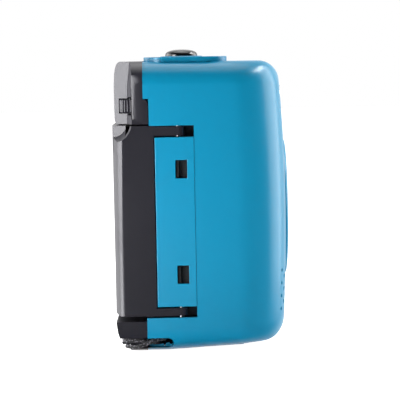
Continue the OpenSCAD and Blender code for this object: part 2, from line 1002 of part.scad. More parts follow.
front_shell();
shell_top_wall();
shell_base_wall();
shell_hinge_wall();
shell_exit_wall();
hinge_side_cover();
top_deck();
shutter_collar();
rear_frame();
cover_clips();
film_chamber();
light_cone();
film_cartridge();
film_stack();
exit_guide();
lens_ring();
roller_bracket();
film_motor();
hinge_pins();
strap_bar();
tripod_bush();
casing_screws();
circuit_board();
shutter_switch();
battery();
battery_contacts();
flash_window();
flash_reflector();
flash_tube();
flash_capacitor();
viewfinder_window();
viewfinder_tube();
viewfinder_eyepiece();
viewfinder_ocular();
light_sensor_windows();
counter_display();
film_door();
pressure_springs();
film_check_window();
door_seal();
door_latch();
outer_barrel();
inner_barrel();
shutter_plate();
lens_glass();
shutter_button();
shutter_spring();
power_button();
mode_button_left();
mode_button_right();
thumbwheel();
front_roller();
rear_roller();
idler_gear();
motor_pinion();
battery_door();
strap_cord();
strap_joiner();
wrist_loop();
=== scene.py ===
"""An instant film camera, dressed with smooth shells, moulded plastics and a braided wrist strap."""

import json
import math

import bmesh
import bpy
from mathutils import Matrix, Vector


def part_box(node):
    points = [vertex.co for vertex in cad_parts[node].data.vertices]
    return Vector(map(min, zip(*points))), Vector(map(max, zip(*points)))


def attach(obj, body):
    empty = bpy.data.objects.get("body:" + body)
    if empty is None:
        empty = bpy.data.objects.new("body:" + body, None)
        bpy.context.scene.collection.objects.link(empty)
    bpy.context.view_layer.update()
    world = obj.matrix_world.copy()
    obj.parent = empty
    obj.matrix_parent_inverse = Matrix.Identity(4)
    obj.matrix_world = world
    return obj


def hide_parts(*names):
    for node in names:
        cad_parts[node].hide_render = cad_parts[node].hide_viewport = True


bl_info = {
    "name": "Instant Camera",
    "version": (1, 0, 0),
    "blender": (4, 5, 0),
    "location": "View3D > Sidebar > Instant Camera",
    "description": "Builds an instant film camera around its packed frame",
    "category": "Object",
}

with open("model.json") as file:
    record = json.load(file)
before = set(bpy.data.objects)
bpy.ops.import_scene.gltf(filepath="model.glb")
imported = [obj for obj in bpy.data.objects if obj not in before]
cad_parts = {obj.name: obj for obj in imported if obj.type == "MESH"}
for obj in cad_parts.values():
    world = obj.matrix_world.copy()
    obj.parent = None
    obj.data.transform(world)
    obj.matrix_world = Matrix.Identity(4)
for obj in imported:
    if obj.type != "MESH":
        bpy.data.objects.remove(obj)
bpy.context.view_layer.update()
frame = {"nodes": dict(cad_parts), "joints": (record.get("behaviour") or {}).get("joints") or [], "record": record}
MM = 0.001

# The casing's main sizes in millimetres, read from the frame where it holds them
HALF_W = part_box("shell_exit_wall")[1][0] / MM
SHELL_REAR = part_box("shell_top_wall")[1][1] / MM
SHELL_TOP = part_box("shell_top_wall")[1][2] / MM
REAR_HIGH = Vector(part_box("rear_frame")[1]) / MM
DOOR_LOW, DOOR_HIGH = (Vector(corner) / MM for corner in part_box("film_door"))
BACK_Y = DOOR_HIGH.y - 0.2
BLOCK_Y = BACK_Y - 1
RING_LOW, RING_HIGH = (Vector(corner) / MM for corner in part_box("lens_ring"))
LENS_Z = (RING_LOW.z + RING_HIGH.z) / 2
BUTTON_LOW, BUTTON_HIGH = (Vector(corner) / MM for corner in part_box("shutter_button"))
BUTTON_AT = ((BUTTON_LOW.x + BUTTON_HIGH.x) / 2, (BUTTON_LOW.y + BUTTON_HIGH.y) / 2)
BUTTON_R = (BUTTON_HIGH.x - BUTTON_LOW.x) / 2
DECK_LOW, DECK_HIGH = (Vector(corner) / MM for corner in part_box("top_deck"))
HINGE = next(j for j in frame["joints"] if j["name"] == "film_door_hinge")
HINGE_X, HINGE_Y = HINGE["pos_m"][0] / MM, HINGE["pos_m"][1] / MM

# The strap's two diameters, its joiner in (y, z) and the thumbwheel's axle in (x, y)
CORD_D, LOOP_D = 1.3, 1.9
JOINER_AT = (28.2, 2.25)
WHEEL_AT = (-54.4, 24.4)
# Route of the thin cord: from the joiner round the rear corner, round the strap bar and back
CORD_ROUTE = [
    (-2, 27.5, 2.5), (-7, 27.5, 2.5), (-15, 26.9, 1.1), (-24, 26.8, 1.1), (-30, 27, 2),
    (-35, 27.7, 3.4), (-40, 28.4, 4.3), (-46, 28.5, 4.35), (-52, 28.55, 4.3), (-56.65, 28.55, 4.3),
    (-57.95, 28.2, 4.3), (-58.9, 27.25, 4.3), (-59.25, 25.95, 4.3), (-59.25, 24.2, 4.3),
    (-59.25, 22.5, 4.3), (-58.9, 21.2, 4.2), (-57.95, 20.25, 4.1), (-56.65, 19.9, 4),
    (-54.6, 19.9, 3.9), (-52.69, 19.11, 3.8), (-51.9, 17.2, 3.8), (-52.69, 15.29, 3.9),
    (-54.6, 14.5, 4.1), (-56.6, 14.8, 4.3), (-58.4, 15.9, 4.5), (-59.8, 17.7, 4.3),
    (-60.5, 20, 3.5), (-60.5, 22.3, 2.7), (-59.9, 24.2, 2.2), (-58.95, 26, 2.1),
    (-57.95, 27.15, 2.1), (-56.65, 27.55, 2), (-53, 27.6, 1.6), (-48, 27.6, 1.1), (-42, 27.7, 0.8),
    (-36, 28.1, 0.75), (-30, 28.4, 0.75), (-22, 28.45, 0.75), (-14, 28.6, 1.1), (-7, 28.9, 1.7),
    (-2, 28.9, 1.7),
]
# Route of the wrist loop: out along the rebate behind the foot, round on the surface and back
LOOP_ROUTE = [
    (10, 27.2, 2.2), (14, 27.2, 2.2), (22, 27, 1.4), (32, 27, 1.1), (46, 27, 1.1), (58, 27.1, 1.1),
    (62.5, 26.3, 1.1), (65.2, 22.5, 1.1), (65.6, 16, 1.1), (65.6, 9, 1.1), (66.6, 2, 1.1),
    (71, -3.2, 1.1), (77.5, -3, 1.1), (82, 2.5, 1.1), (83, 10, 1.1), (81, 18.5, 1.1),
    (76, 25, 1.1), (69, 28.6, 1.1), (60, 29.4, 1.1), (48, 29.2, 1.1), (34, 29.15, 1.1),
    (22, 29.1, 1.4), (14, 29.2, 2.2), (10, 29.2, 2.2),
]


# ---------- mesh tools, in millimetres ----------

AXES = {"X": (1, 2, 0), "Y": (0, 2, 1), "Z": (0, 1, 2)}


def place(pair, along, axis):
    """A point from two coordinates across an axis and one along it."""
    point = [0.0, 0.0, 0.0]
    first, second, third = AXES[axis]
    point[first], point[second], point[third] = pair[0], pair[1], along
    return Vector(point)


def block(low, high):
    """A box between two corners."""
    bm = bmesh.new()
    bmesh.ops.create_cube(bm, size=1)
    low, high = Vector(low), Vector(high)
    size = high - low
    bmesh.ops.scale(bm, vec=size, verts=bm.verts)
    bmesh.ops.translate(bm, vec=(low + high) / 2, verts=bm.verts)
    return bm


def prism(outline, axis, start, end):
    """An outline extruded along an axis."""
    bm = bmesh.new()
    verts = [bm.verts.new(place(pair, start, axis)) for pair in outline]
    face = bm.faces.new(verts)
    made = bmesh.ops.extrude_face_region(bm, geom=[face])
    moved = [item for item in made["geom"] if isinstance(item, bmesh.types.BMVert)]
    bmesh.ops.translate(bm, vec=place((0, 0), end - start, axis), verts=moved)
    bmesh.ops.recalc_face_normals(bm, faces=bm.faces)
    return bm


def rod(axis, centre, radius, start, end, segments=48, end_radius=None):
    """A round bar or cone along an axis."""
    bm = bmesh.new()
    bmesh.ops.create_cone(
        bm, cap_ends=True, segments=segments, radius1=radius,
        radius2=radius if end_radius is None else end_radius, depth=end - start,
    )
    turn = {"X": Matrix.Rotation(math.pi / 2, 3, "Y"), "Y": Matrix.Rotation(-math.pi / 2, 3, "X"),
            "Z": Matrix.Identity(3)}[axis]
    bmesh.ops.rotate(bm, cent=(0, 0, 0), matrix=turn, verts=bm.verts)
    bmesh.ops.translate(bm, vec=place(centre, (start + end) / 2, axis), verts=bm.verts)
    return bm


def lathe(profile, axis, centre, steps=96, closed=True):
    """A profile of (radius, place along the axis) turned round that axis."""
    bm = bmesh.new()
    across = place((1, 0), 0, axis)
    verts = [bm.verts.new(place(centre, along, axis) + across * radius) for radius, along in profile]
    edges = [bm.edges.new(pair) for pair in zip(verts, verts[1:])]
    if closed:
        edges.append(bm.edges.new((verts[-1], verts[0])))
    bmesh.ops.spin(
        bm, geom=verts + edges, cent=place(centre, 0, axis), axis=place((0, 0), 1, axis),
        angle=2 * math.pi, steps=steps, use_merge=True,
    )
    bmesh.ops.remove_doubles(bm, verts=bm.verts, dist=1e-4)
    bmesh.ops.recalc_face_normals(bm, faces=bm.faces)
    return bm


def loft(sections, cap=True):
    """Rings of the same number of points, each extruded from the one before."""
    bm = bmesh.new()
    ring = [bm.verts.new(point) for point in sections[0]]
    edges = [bm.edges.new((ring[i], ring[(i + 1) % len(ring)])) for i in range(len(ring))]
    if cap:
        bm.faces.new(ring)
    for section in sections[1:]:
        made = bmesh.ops.extrude_edge_only(bm, edges=edges)["geom"]
        fresh = {item for item in made if isinstance(item, bmesh.types.BMVert)}
        ring = [next(e.other_vert(v) for e in v.link_edges if e.other_vert(v) in fresh) for v in ring]
        for vert, point in zip(ring, section):
            vert.co = point
        edges = [item for item in made if isinstance(item, bmesh.types.BMEdge)
                 and item.verts[0] in fresh and item.verts[1] in fresh]
    if cap:
        bm.faces.new(ring)
    bmesh.ops.recalc_face_normals(bm, faces=bm.faces)
    return bm


def temporary(bm):
    """A throw-away object for a boolean."""
    mesh = bpy.data.meshes.new("working")
    bm.to_mesh(mesh)
    bm.free()
    obj = bpy.data.objects.new("working", mesh)
    bpy.context.scene.collection.objects.link(obj)
    return obj


def combine(bm, others, operation):
    """One mesh joined with, or cut by, several others."""
    base = temporary(bm)
    tools = [temporary(other) for other in others]
    for tool in tools:
        step = base.modifiers.new("step", "BOOLEAN")
        step.operation = operation
        step.solver = "EXACT"
        step.object = tool
    seen = base.evaluated_get(bpy.context.evaluated_depsgraph_get())
    mesh = bpy.data.meshes.new_from_object(seen)
    result = bmesh.new()
    result.from_mesh(mesh)
    bpy.data.meshes.remove(mesh)
    bmesh.ops.remove_doubles(result, verts=result.verts, dist=0.001)
    bmesh.ops.dissolve_limit(result, angle_limit=math.radians(0.2), verts=result.verts, edges=result.edges)
    for obj in [base] + tools:
        data = obj.data
        bpy.data.objects.remove(obj)
        bpy.data.meshes.remove(data)
    return result


def cut(bm, *cutters):
    return combine(bm, cutters, "DIFFERENCE")


def join(bm, *others):
    return combine(bm, others, "UNION")


def copy_of(node):
    """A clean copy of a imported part's mesh, in millimetres, with its flat faces made whole."""
    bm = bmesh.new()
    bm.from_mesh(frame["nodes"][node].data)
    bmesh.ops.scale(bm, vec=Vector((1, 1, 1)) / MM, verts=bm.verts)
    bmesh.ops.remove_doubles(bm, verts=bm.verts, dist=0.002)
    bmesh.ops.dissolve_limit(
        bm, angle_limit=math.radians(1.5), verts=bm.verts, edges=bm.edges, use_dissolve_boundaries=False
    )
    return bm


def finish_piece(name, bm, material, body, stands_for=(), edge=0.0, segments=3, angle=35):
    """Turns a mesh in millimetres into a finished piece that rides on a body."""
    bmesh.ops.scale(bm, vec=Vector((1, 1, 1)) * MM, verts=bm.verts)
    mesh = bpy.data.meshes.new(name)
    bm.to_mesh(mesh)
    bm.free()
    mesh.shade_smooth()
    obj = bpy.data.objects.new(name, mesh)
    bpy.context.scene.collection.objects.link(obj)
    mesh.materials.clear()
    mesh.materials.append(material)
    if edge:
        bevel = obj.modifiers.new("rounded_edges", "BEVEL")
        bevel.width = edge * MM
        bevel.segments = segments
        bevel.limit_method = "ANGLE"
        bevel.angle_limit = math.radians(angle)
        bevel.use_clamp_overlap = True
        bevel.miter_outer = "MITER_ARC"
        bevel.harden_normals = True
    else:
        mesh.set_sharp_from_angle(angle=math.radians(angle))
    even = obj.modifiers.new("even_shading", "WEIGHTED_NORMAL")
    even.keep_sharp = True
    even.weight = 60
    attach(obj, body)
    if stands_for:
        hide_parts(*stands_for)
    return obj


def rounded_outline(half, low, high, radius, centre=0.0, arc=8, runs=(10, 10)):
    """A rectangle with round corners: half its width, its lower and upper limits."""
    corners = [(half - radius, low + radius, -90), (half - radius, high - radius, 0),
               (radius - half, high - radius, 90), (radius - half, low + radius, 180)]
    points = []
    for index, (x, z, start) in enumerate(corners):
        for step in range(arc + 1):
            angle = math.radians(start + 90 * step / arc)
            points.append((centre + x + radius * math.cos(angle), z + radius * math.sin(angle)))
        nx, nz, nstart = corners[(index + 1) % 4]
        angle = math.radians(nstart)
        last = points[-1]
        first = (centre + nx + radius * math.cos(angle), nz + radius * math.sin(angle))
        count = runs[(index + 1) % 2]
        for step in range(1, count):
            share = step / count
            points.append((last[0] + (first[0] - last[0]) * share, last[1] + (first[1] - last[1]) * share))
    return points


def smooth_route(route, steps):
    """Points along a smooth curve through a route's points, in millimetres."""
    points = []
    for index in range(len(route) - 1):
        a, b, c, d = (Vector(route[min(max(index + k, 0), len(route) - 1)]) for k in (-1, 0, 1, 2))
        for step in range(steps):
            t = step / steps
            points.append(0.5 * (2 * b + (c - a) * t + (2 * a - 5 * b + 4 * c - d) * t * t
                                 + (3 * b - a - 3 * c + d) * t * t * t))
    points.append(Vector(route[-1]))
    return points


# ---------- material tools ----------


class Nodes:
    """A short way to add and wire nodes in a tree."""

    def __init__(self, tree):
        self.tree = tree

    def add(self, kind, inputs=None, **settings):
        node = self.tree.nodes.new(kind)
        for key, value in settings.items():
            setattr(node, key, value)
        for key, value in (inputs or {}).items():
            if isinstance(value, bpy.types.NodeSocket):
                self.tree.links.new(value, node.inputs[key])
            else:
                node.inputs[key].default_value = value
        return node

    def math(self, operation, a, b=0.0, c=None):
        inputs = {0: a, 1: b}
        if c is not None:
            inputs[2] = c
        return self.add("ShaderNodeMath", inputs, operation=operation).outputs[0]

    def remap(self, value, low, high, to_low=0.0, to_high=1.0):
        node = self.add("ShaderNodeMapRange", {
            "Value": value, "From Min": low, "From Max": high, "To Min": to_low, "To Max": to_high})
        return node.outputs["Result"]

    def mix(self, factor, a, b):
        node = self.add("ShaderNodeMix", data_type="RGBA")
        for key, value in ((0, factor), (6, a), (7, b)):
            if isinstance(value, bpy.types.NodeSocket):
                self.tree.links.new(value, node.inputs[key])
            else:
                node.inputs[key].default_value = value
        return node.outputs[2]


def node_group(name, inputs, outputs):
    """An empty shader group with named float inputs and outputs."""
    tree = bpy.data.node_groups.new(name, "ShaderNodeTree")
    for label, kind, default in inputs:
        socket = tree.interface.new_socket(label, in_out="INPUT", socket_type=kind)
        if default is not None:
            socket.default_value = default
    for label, kind in outputs:
        tree.interface.new_socket(label, in_out="OUTPUT", socket_type=kind)
    nodes = Nodes(tree)
    start = tree.nodes.new("NodeGroupInput")
    end = tree.nodes.new("NodeGroupOutput")
    return tree, nodes, start, end


FLOAT, VECTOR, COLOR = "NodeSocketFloat", "NodeSocketVector", "NodeSocketColor"


def moulded_group():
    """Fine moulded grain, slow unevenness and faint handling marks."""
    tree, n, start, end = node_group(
        "moulded_surface",
        [("Vector", VECTOR, None), ("Colour", COLOR, (0.5, 0.5, 0.5, 1)), ("Roughness", FLOAT, 0.4),
         ("Grain Scale", FLOAT, 2500.0), ("Grain Depth", FLOAT, 1.0), ("Variation", FLOAT, 0.05),
         ("Marks", FLOAT, 0.05)],
        [("Colour", COLOR), ("Roughness", FLOAT), ("Height", FLOAT)],
    )
    vector = start.outputs["Vector"]
    grain = n.add("ShaderNodeTexNoise", {"Vector": vector, "Scale": start.outputs["Grain Scale"],
                                         "Detail": 3.0, "Roughness": 0.6}).outputs["Fac"]
    pits = n.add("ShaderNodeTexVoronoi", {"Vector": vector, "Scale": start.outputs["Grain Scale"]},
                 feature="SMOOTH_F1").outputs["Distance"]
    slow = n.add("ShaderNodeTexNoise", {"Vector": vector, "Scale": 28.0, "Detail": 3.0}).outputs["Fac"]
    marks = n.add("ShaderNodeTexNoise", {"Vector": vector, "Scale": 90.0, "Detail": 6.0,
                                         "Roughness": 0.7, "Distortion": 0.6}).outputs["Fac"]
    worn = n.remap(marks, 0.56, 0.74)
    slow_tone = n.math("MULTIPLY", n.math("SUBTRACT", slow, 0.5), start.outputs["Variation"])
    tone = n.math("ADD", 1.0, slow_tone)
    colour = n.add("ShaderNodeVectorMath", {0: start.outputs["Colour"]}, operation="SCALE")
    tree.links.new(tone, colour.inputs["Scale"])
    tree.links.new(colour.outputs[0], end.inputs["Colour"])
    mark_rough = n.math("MULTIPLY", worn, start.outputs["Marks"])
    grain_rough = n.math("MULTIPLY", n.math("SUBTRACT", grain, 0.5), 0.08)
    rough = n.math("ADD", n.math("ADD", start.outputs["Roughness"], mark_rough), grain_rough)
    tree.links.new(rough, end.inputs["Roughness"])
    height = n.math("MULTIPLY", n.math("ADD", grain, pits), start.outputs["Grain Depth"])
    tree.links.new(height, end.inputs["Height"])
    return tree


def brushed_group():
    """Long fine scratches across one axis, for brushed and turned metal."""
    tree, n, start, end = node_group(
        "brushed_surface",
        [("Vector", VECTOR, None), ("Roughness", FLOAT, 0.3), ("Stretch", VECTOR, (1, 1, 40))],
        [("Roughness", FLOAT), ("Height", FLOAT), ("Tone", FLOAT)],
    )
    stretched = n.add("ShaderNodeVectorMath", {0: start.outputs["Vector"], 1: start.outputs["Stretch"]},
                      operation="MULTIPLY").outputs[0]
    lines = n.add("ShaderNodeTexNoise", {"Vector": stretched, "Scale": 60.0, "Detail": 5.0,
                                         "Roughness": 0.7}).outputs["Fac"]
    tree.links.new(n.math("ADD", start.outputs["Roughness"],
                          n.math("MULTIPLY", n.math("SUBTRACT", lines, 0.5), 0.25)), end.inputs["Roughness"])
    tree.links.new(lines, end.inputs["Height"])
    tree.links.new(n.remap(lines, 0.0, 1.0, 0.85, 1.1), end.inputs["Tone"])
    return tree


def weave_group():
    """A braid of crossing yarns round a cord, from its own UV map, with painted glints on the crests of random
    yarns and painted shade in the grooves.
    """
    tree, n, start, end = node_group(
        "braid_weave",
        [("UV", VECTOR, None), ("Around", FLOAT, 8.0), ("Along", FLOAT, 1.0)],
        [("Height", FLOAT), ("Painted Glint", FLOAT), ("Shade", FLOAT)],
    )
    split = n.add("ShaderNodeSeparateXYZ", {0: start.outputs["UV"]})
    around = n.math("MULTIPLY", split.outputs[0], start.outputs["Around"])
    along = n.math("MULTIPLY", split.outputs[1], start.outputs["Along"])
    rising = n.math("ADD", around, along)
    falling = n.math("SUBTRACT", around, along)
    first = n.math("ABSOLUTE", n.math("SINE", n.math("MULTIPLY", rising, math.pi)))
    second = n.math("ABSOLUTE", n.math("SINE", n.math("MULTIPLY", falling, math.pi)))
    over = n.math("GREATER_THAN", n.math("MODULO", n.math("ADD", n.math("FLOOR", rising),
                                                        n.math("FLOOR", falling)), 2.0), 0.5)
    height = n.math("MAXIMUM", n.math("MULTIPLY", first, n.math("ADD", 0.55, n.math("MULTIPLY", over, 0.45))),
                    n.math("MULTIPLY", second, n.math("SUBTRACT", 1.0, n.math("MULTIPLY", over, 0.45))))
    tree.links.new(height, end.inputs["Height"])
    cells = n.add("ShaderNodeCombineXYZ", {0: n.math("FLOOR", rising), 1: n.math("FLOOR", falling)})
    picked = n.add("ShaderNodeTexWhiteNoise", {"Vector": cells.outputs[0]}, noise_dimensions="2D")
    # Random yarn crossings get a painted glint, brightest on the crest of the yarn
    lit = n.math("GREATER_THAN", picked.outputs["Value"], 0.72)
    tree.links.new(n.math("MULTIPLY", lit, n.math("POWER", height, 3.0)), end.inputs["Painted Glint"])
    # Painted shade: the colour darkens into the grooves between yarns and lifts a little on their crests
    tree.links.new(n.remap(height, 0.0, 1.0, 0.35, 1.1), end.inputs["Shade"])
    return tree


def new_material(name):
    """A material with only its Principled shader and output, and its node helper."""
    material = bpy.data.materials.new(name)
    material.use_nodes = True
    shader = material.node_tree.nodes["Principled BSDF"]
    return material, shader, Nodes(material.node_tree)


def use_group(n, group, **inputs):
    node = n.add("ShaderNodeGroup", node_tree=group)
    for key, value in inputs.items():
        socket = node.inputs[key.replace("_", " ")]
        if isinstance(value, bpy.types.NodeSocket):
            n.tree.links.new(value, socket)
        else:
            socket.default_value = value
    return node


def moulded(name, colour, roughness, depth=0.02, scale=2500.0, coat=0.0, variation=0.06, marks=0.08,
            specular=0.5):
    """Injection-moulded plastic."""
    material, shader, n = new_material(name)
    coords = n.add("ShaderNodeTexCoord").outputs["Object"]
    surface = use_group(n, GROUPS["moulded"], Vector=coords, Colour=(*colour, 1), Roughness=roughness,
                        Grain_Scale=scale, Variation=variation, Marks=marks)
    n.tree.links.new(surface.outputs["Colour"], shader.inputs["Base Color"])
    n.tree.links.new(surface.outputs["Roughness"], shader.inputs["Roughness"])
    bump = n.add("ShaderNodeBump", {"Height": surface.outputs["Height"], "Strength": depth,
                                    "Distance": 0.0001})
    n.tree.links.new(bump.outputs["Normal"], shader.inputs["Normal"])
    shader.inputs["Coat Weight"].default_value = coat
    shader.inputs["Coat Roughness"].default_value = 0.12
    shader.inputs["Specular IOR Level"].default_value = specular
    shader.inputs["IOR"].default_value = 1.48
    return material


def metal(name, colour, roughness, stretch=(1, 1, 40)):
    """Brushed or turned metal."""
    material, shader, n = new_material(name)
    coords = n.add("ShaderNodeTexCoord").outputs["Object"]
    surface = use_group(n, GROUPS["brushed"], Vector=coords, Roughness=roughness, Stretch=stretch)
    tone = n.add("ShaderNodeVectorMath", {0: (*colour,)}, operation="SCALE")
    n.tree.links.new(surface.outputs["Tone"], tone.inputs["Scale"])
    n.tree.links.new(tone.outputs[0], shader.inputs["Base Color"])
    n.tree.links.new(surface.outputs["Roughness"], shader.inputs["Roughness"])
    bump = n.add("ShaderNodeBump", {"Height": surface.outputs["Height"], "Strength": 0.08,
                                    "Distance": 0.0001})
    n.tree.links.new(bump.outputs["Normal"], shader.inputs["Normal"])
    shader.inputs["Metallic"].default_value = 1.0
    return material


def glass(name, colour, roughness=0.02, transmission=1.0):
    """Clear or tinted moulded window."""
    material, shader, n = new_material(name)
    coords = n.add("ShaderNodeTexCoord").outputs["Object"]
    dust = n.add("ShaderNodeTexNoise", {"Vector": coords, "Scale": 700.0, "Detail": 4.0}).outputs["Fac"]
    n.tree.links.new(n.remap(dust, 0.4, 0.8, roughness, roughness + 0.06), shader.inputs["Roughness"])
    tint = n.mix(n.remap(dust, 0.5, 0.9), (*colour, 1), (*(0.9 * c for c in colour), 1))
    n.tree.links.new(tint, shader.inputs["Base Color"])
    shader.inputs["Transmission Weight"].default_value = transmission
    shader.inputs["IOR"].default_value = 1.49
    return material


def braid(name, colour, painted_glint, around, along):
    """Braided cord, from the tube's own UV map: U runs round it and V is metres along it."""
    material, shader, n = new_material(name)
    uv = n.add("ShaderNodeUVMap", uv_map="along_cord").outputs["UV"]
    weave = use_group(n, GROUPS["weave"], UV=uv, Around=around, Along=along)
    # The cord's colour is scaled by the painted groove shade
    shaded = n.add("ShaderNodeVectorMath", {0: (*colour,)}, operation="SCALE")
    n.tree.links.new(weave.outputs["Shade"], shaded.inputs["Scale"])
    # The painted glint colour is mixed over the cord's colour
    tinted = n.mix(weave.outputs["Painted Glint"], shaded.outputs[0], (*painted_glint, 1))
    n.tree.links.new(tinted, shader.inputs["Base Color"])
    shader.inputs["Roughness"].default_value = 0.7
    shader.inputs["Sheen Weight"].default_value = 0.3
    bump = n.add("ShaderNodeBump", {"Height": weave.outputs["Height"], "Strength": 0.8,
                                    "Distance": 0.0002})
    n.tree.links.new(bump.outputs["Normal"], shader.inputs["Normal"])
    return material


def board_material(name, colour):
    """Circuit board with copper runs under a green mask."""
    material, shader, n = new_material(name)
    coords = n.add("ShaderNodeTexCoord").outputs["Object"]
    runs = n.add("ShaderNodeTexVoronoi", {"Vector": coords, "Scale": 260.0}, feature="DISTANCE_TO_EDGE",
                 distance="CHEBYCHEV").outputs["Distance"]
    copper = n.remap(runs, 0.04, 0.06, 1.0, 0.0)
    bright = (*(2.4 * channel for channel in colour), 1)
    n.tree.links.new(n.mix(copper, (*colour, 1), bright), shader.inputs["Base Color"])
    n.tree.links.new(n.remap(runs, 0.0, 0.5, 0.35, 0.5), shader.inputs["Roughness"])
    return material


def display_material(name):
    """A dark glossy pane over a grey-green display with a fine grid."""
    material, shader, n = new_material(name)
    coords = n.add("ShaderNodeTexCoord").outputs["Object"]
    split = n.add("ShaderNodeSeparateXYZ", {0: coords})
    across = n.math("ABSOLUTE", n.math("ADD", split.outputs[0], 0.003))
    upward = n.math("ABSOLUTE", n.math("SUBTRACT", split.outputs[2], 0.089))
    inside = n.math("MULTIPLY", n.math("LESS_THAN", across, 0.0085), n.math("LESS_THAN", upward, 0.0042))
    grid = n.add("ShaderNodeTexVoronoi", {"Vector": coords, "Scale": 2600.0}, distance="CHEBYCHEV")
    pale = n.mix(n.remap(grid.outputs["Distance"], 0.2, 0.7), (0.2, 0.23, 0.19, 1), (0.16, 0.19, 0.16, 1))
    n.tree.links.new(n.mix(inside, (0.012, 0.012, 0.014, 1), pale), shader.inputs["Base Color"])
    shader.inputs["Roughness"].default_value = 0.12
    shader.inputs["Coat Weight"].default_value = 0.6
    return material


GROUPS = {}
MATERIALS = {}


def build_materials(look):
    """Every finish of the object, by the record's slot names and a few more."""
    GROUPS["moulded"] = moulded_group()
    GROUPS["brushed"] = brushed_group()
    GROUPS["weave"] = weave_group()
    blue = tuple(look.casing_colour)
    black = tuple(look.frame_colour)
    MATERIALS.update({
        "blue_casing": moulded("casing_blue", blue, look.casing_roughness, depth=0.03, coat=0.05,
                               specular=0.3),
        "black_frame": moulded("frame_black", black, 0.36, depth=0.12, scale=3200.0, variation=0.2),
        "black_inner": moulded("inner_black", (0.012, 0.012, 0.014), 0.75, depth=0.3, scale=1500.0),
        "black_gloss": moulded("button_black", (0.012, 0.012, 0.014), 0.2, depth=0.005, coat=0.1),
        "steel": metal("brushed_steel", (0.3, 0.3, 0.32), 0.35),
        "spring_steel": metal("spring_steel", (0.5, 0.5, 0.5), 0.38, (1, 1, 8)),
        "brass": metal("turned_brass", (0.75, 0.55, 0.25), 0.3, (1, 1, 60)),
        "gear_white": moulded("gear_white", (0.8, 0.79, 0.73), 0.45, depth=0.05),
        "board": board_material("board_green", (0.01, 0.11, 0.045)),
        "clear": glass("window_clear", (0.95, 0.97, 0.98)),
        "lens": glass("lens_coated", (0.55, 0.6, 0.85)),
        "amber": glass("window_amber", (0.85, 0.45, 0.06), 0.08),
        "battery_wrap": moulded("wrap_film", (0.05, 0.055, 0.07), 0.3, depth=0.01, coat=0.3),
        "film": moulded("film_sheet", (0.75, 0.75, 0.72), 0.25, depth=0.01, coat=0.4),
        "seal_foam": moulded("seal_foam", (0.02, 0.02, 0.02), 0.95, depth=0.9, scale=900.0),
        "display": display_material("display_glass"),
        # The last colour of each braid is its painted glint
        "braid": braid("braided_cord", (0.008, 0.008, 0.012), (0.3, 0.29, 0.34), 4.0, 1400.0),
        "loop_braid": braid("braided_loop", (0.03, 0.03, 0.036), (0.3, 0.29, 0.32), 5.0, 1100.0),
    })


def tint_packed_parts():
    """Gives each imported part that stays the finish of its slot."""
    slots = {part["node"]: part["material_slot"] for part in frame["record"]["subparts"]}
    for node, obj in frame["nodes"].items():
        obj.data.materials.clear()
        obj.data.materials.append(MATERIALS[slots[node]])


# ---------- casing ----------

FRONT_Y = -28.6
PLAN_R = 17.0
EDGE_R = 6.5
SIDE_R = 8.0
CREST = 0.8
SLOPE = 1.3
TOP_SLOPE = 1.9


def crowned(x, y, z):
    """The front face swells towards its middle."""
    nearness = min(max((-y - 2) / 20, 0), 1)
    nearness = nearness * nearness * (3 - 2 * nearness)
    swell = CREST * max(0.0, 1 - (x / 45) ** 2) - (TOP_SLOPE if z > 50 else SLOPE) * ((z - 50) / 45) ** 2
    return Vector((x, y - swell * nearness, z))


def side_draft(y):
    """How far the sides draw in towards the front."""
    return 0.7 * (max(SHELL_REAR - y, 0) / 31) ** 2


def casing_section(y, inset, shrink=1.0):
    """The casing's outline at one depth, drawn inwards by inset."""
    front = FRONT_Y + inset
    plan, edge = PLAN_R - inset, EDGE_R - inset / 2
    into_plan = max(front + plan - y, 0)
    into_edge = max(front + edge - y, 0)
    side_loss = plan - math.sqrt(max(plan ** 2 - into_plan ** 2, 0))
    edge_loss = edge - math.sqrt(max(edge ** 2 - into_edge ** 2, 0))
    lift = 0.3 + 0.055 * max(12 - y, 0)
    droop = 0.006 * max(SHELL_REAR - y, 0)
    half = HALF_W - inset - side_loss - side_draft(y)
    low = inset + edge_loss + lift
    high = SHELL_TOP - inset - edge_loss - droop
    radius = SIDE_R - inset - 3 * side_loss / plan
    middle = (low + high) / 2
    points = rounded_outline(half, low, high, radius)
    return [crowned(x * shrink, y, middle + (z - middle) * shrink) for x, z in points]


def casing_form(inset, rear):
    """The casing's form, closed at the front and the rear."""
    front = FRONT_Y + inset
    plan = PLAN_R - inset
    depths = [rear, 14, 8, 2, -4, -8]
    depths += [front + plan - plan * math.sin(math.radians(angle)) for angle in range(0, 85, 6)]
    depths += [front + plan - plan * math.sin(math.radians(angle)) for angle in (84, 87)]
    sections = [casing_section(y, inset) for y in sorted(set(depths), reverse=True)]
    front_shrinks = (1, 0.94, 0.84, 0.7, 0.55, 0.4, 0.25, 0.1)
    sections += [casing_section(front, inset, shrink) for shrink in front_shrinks]
    return loft(sections)


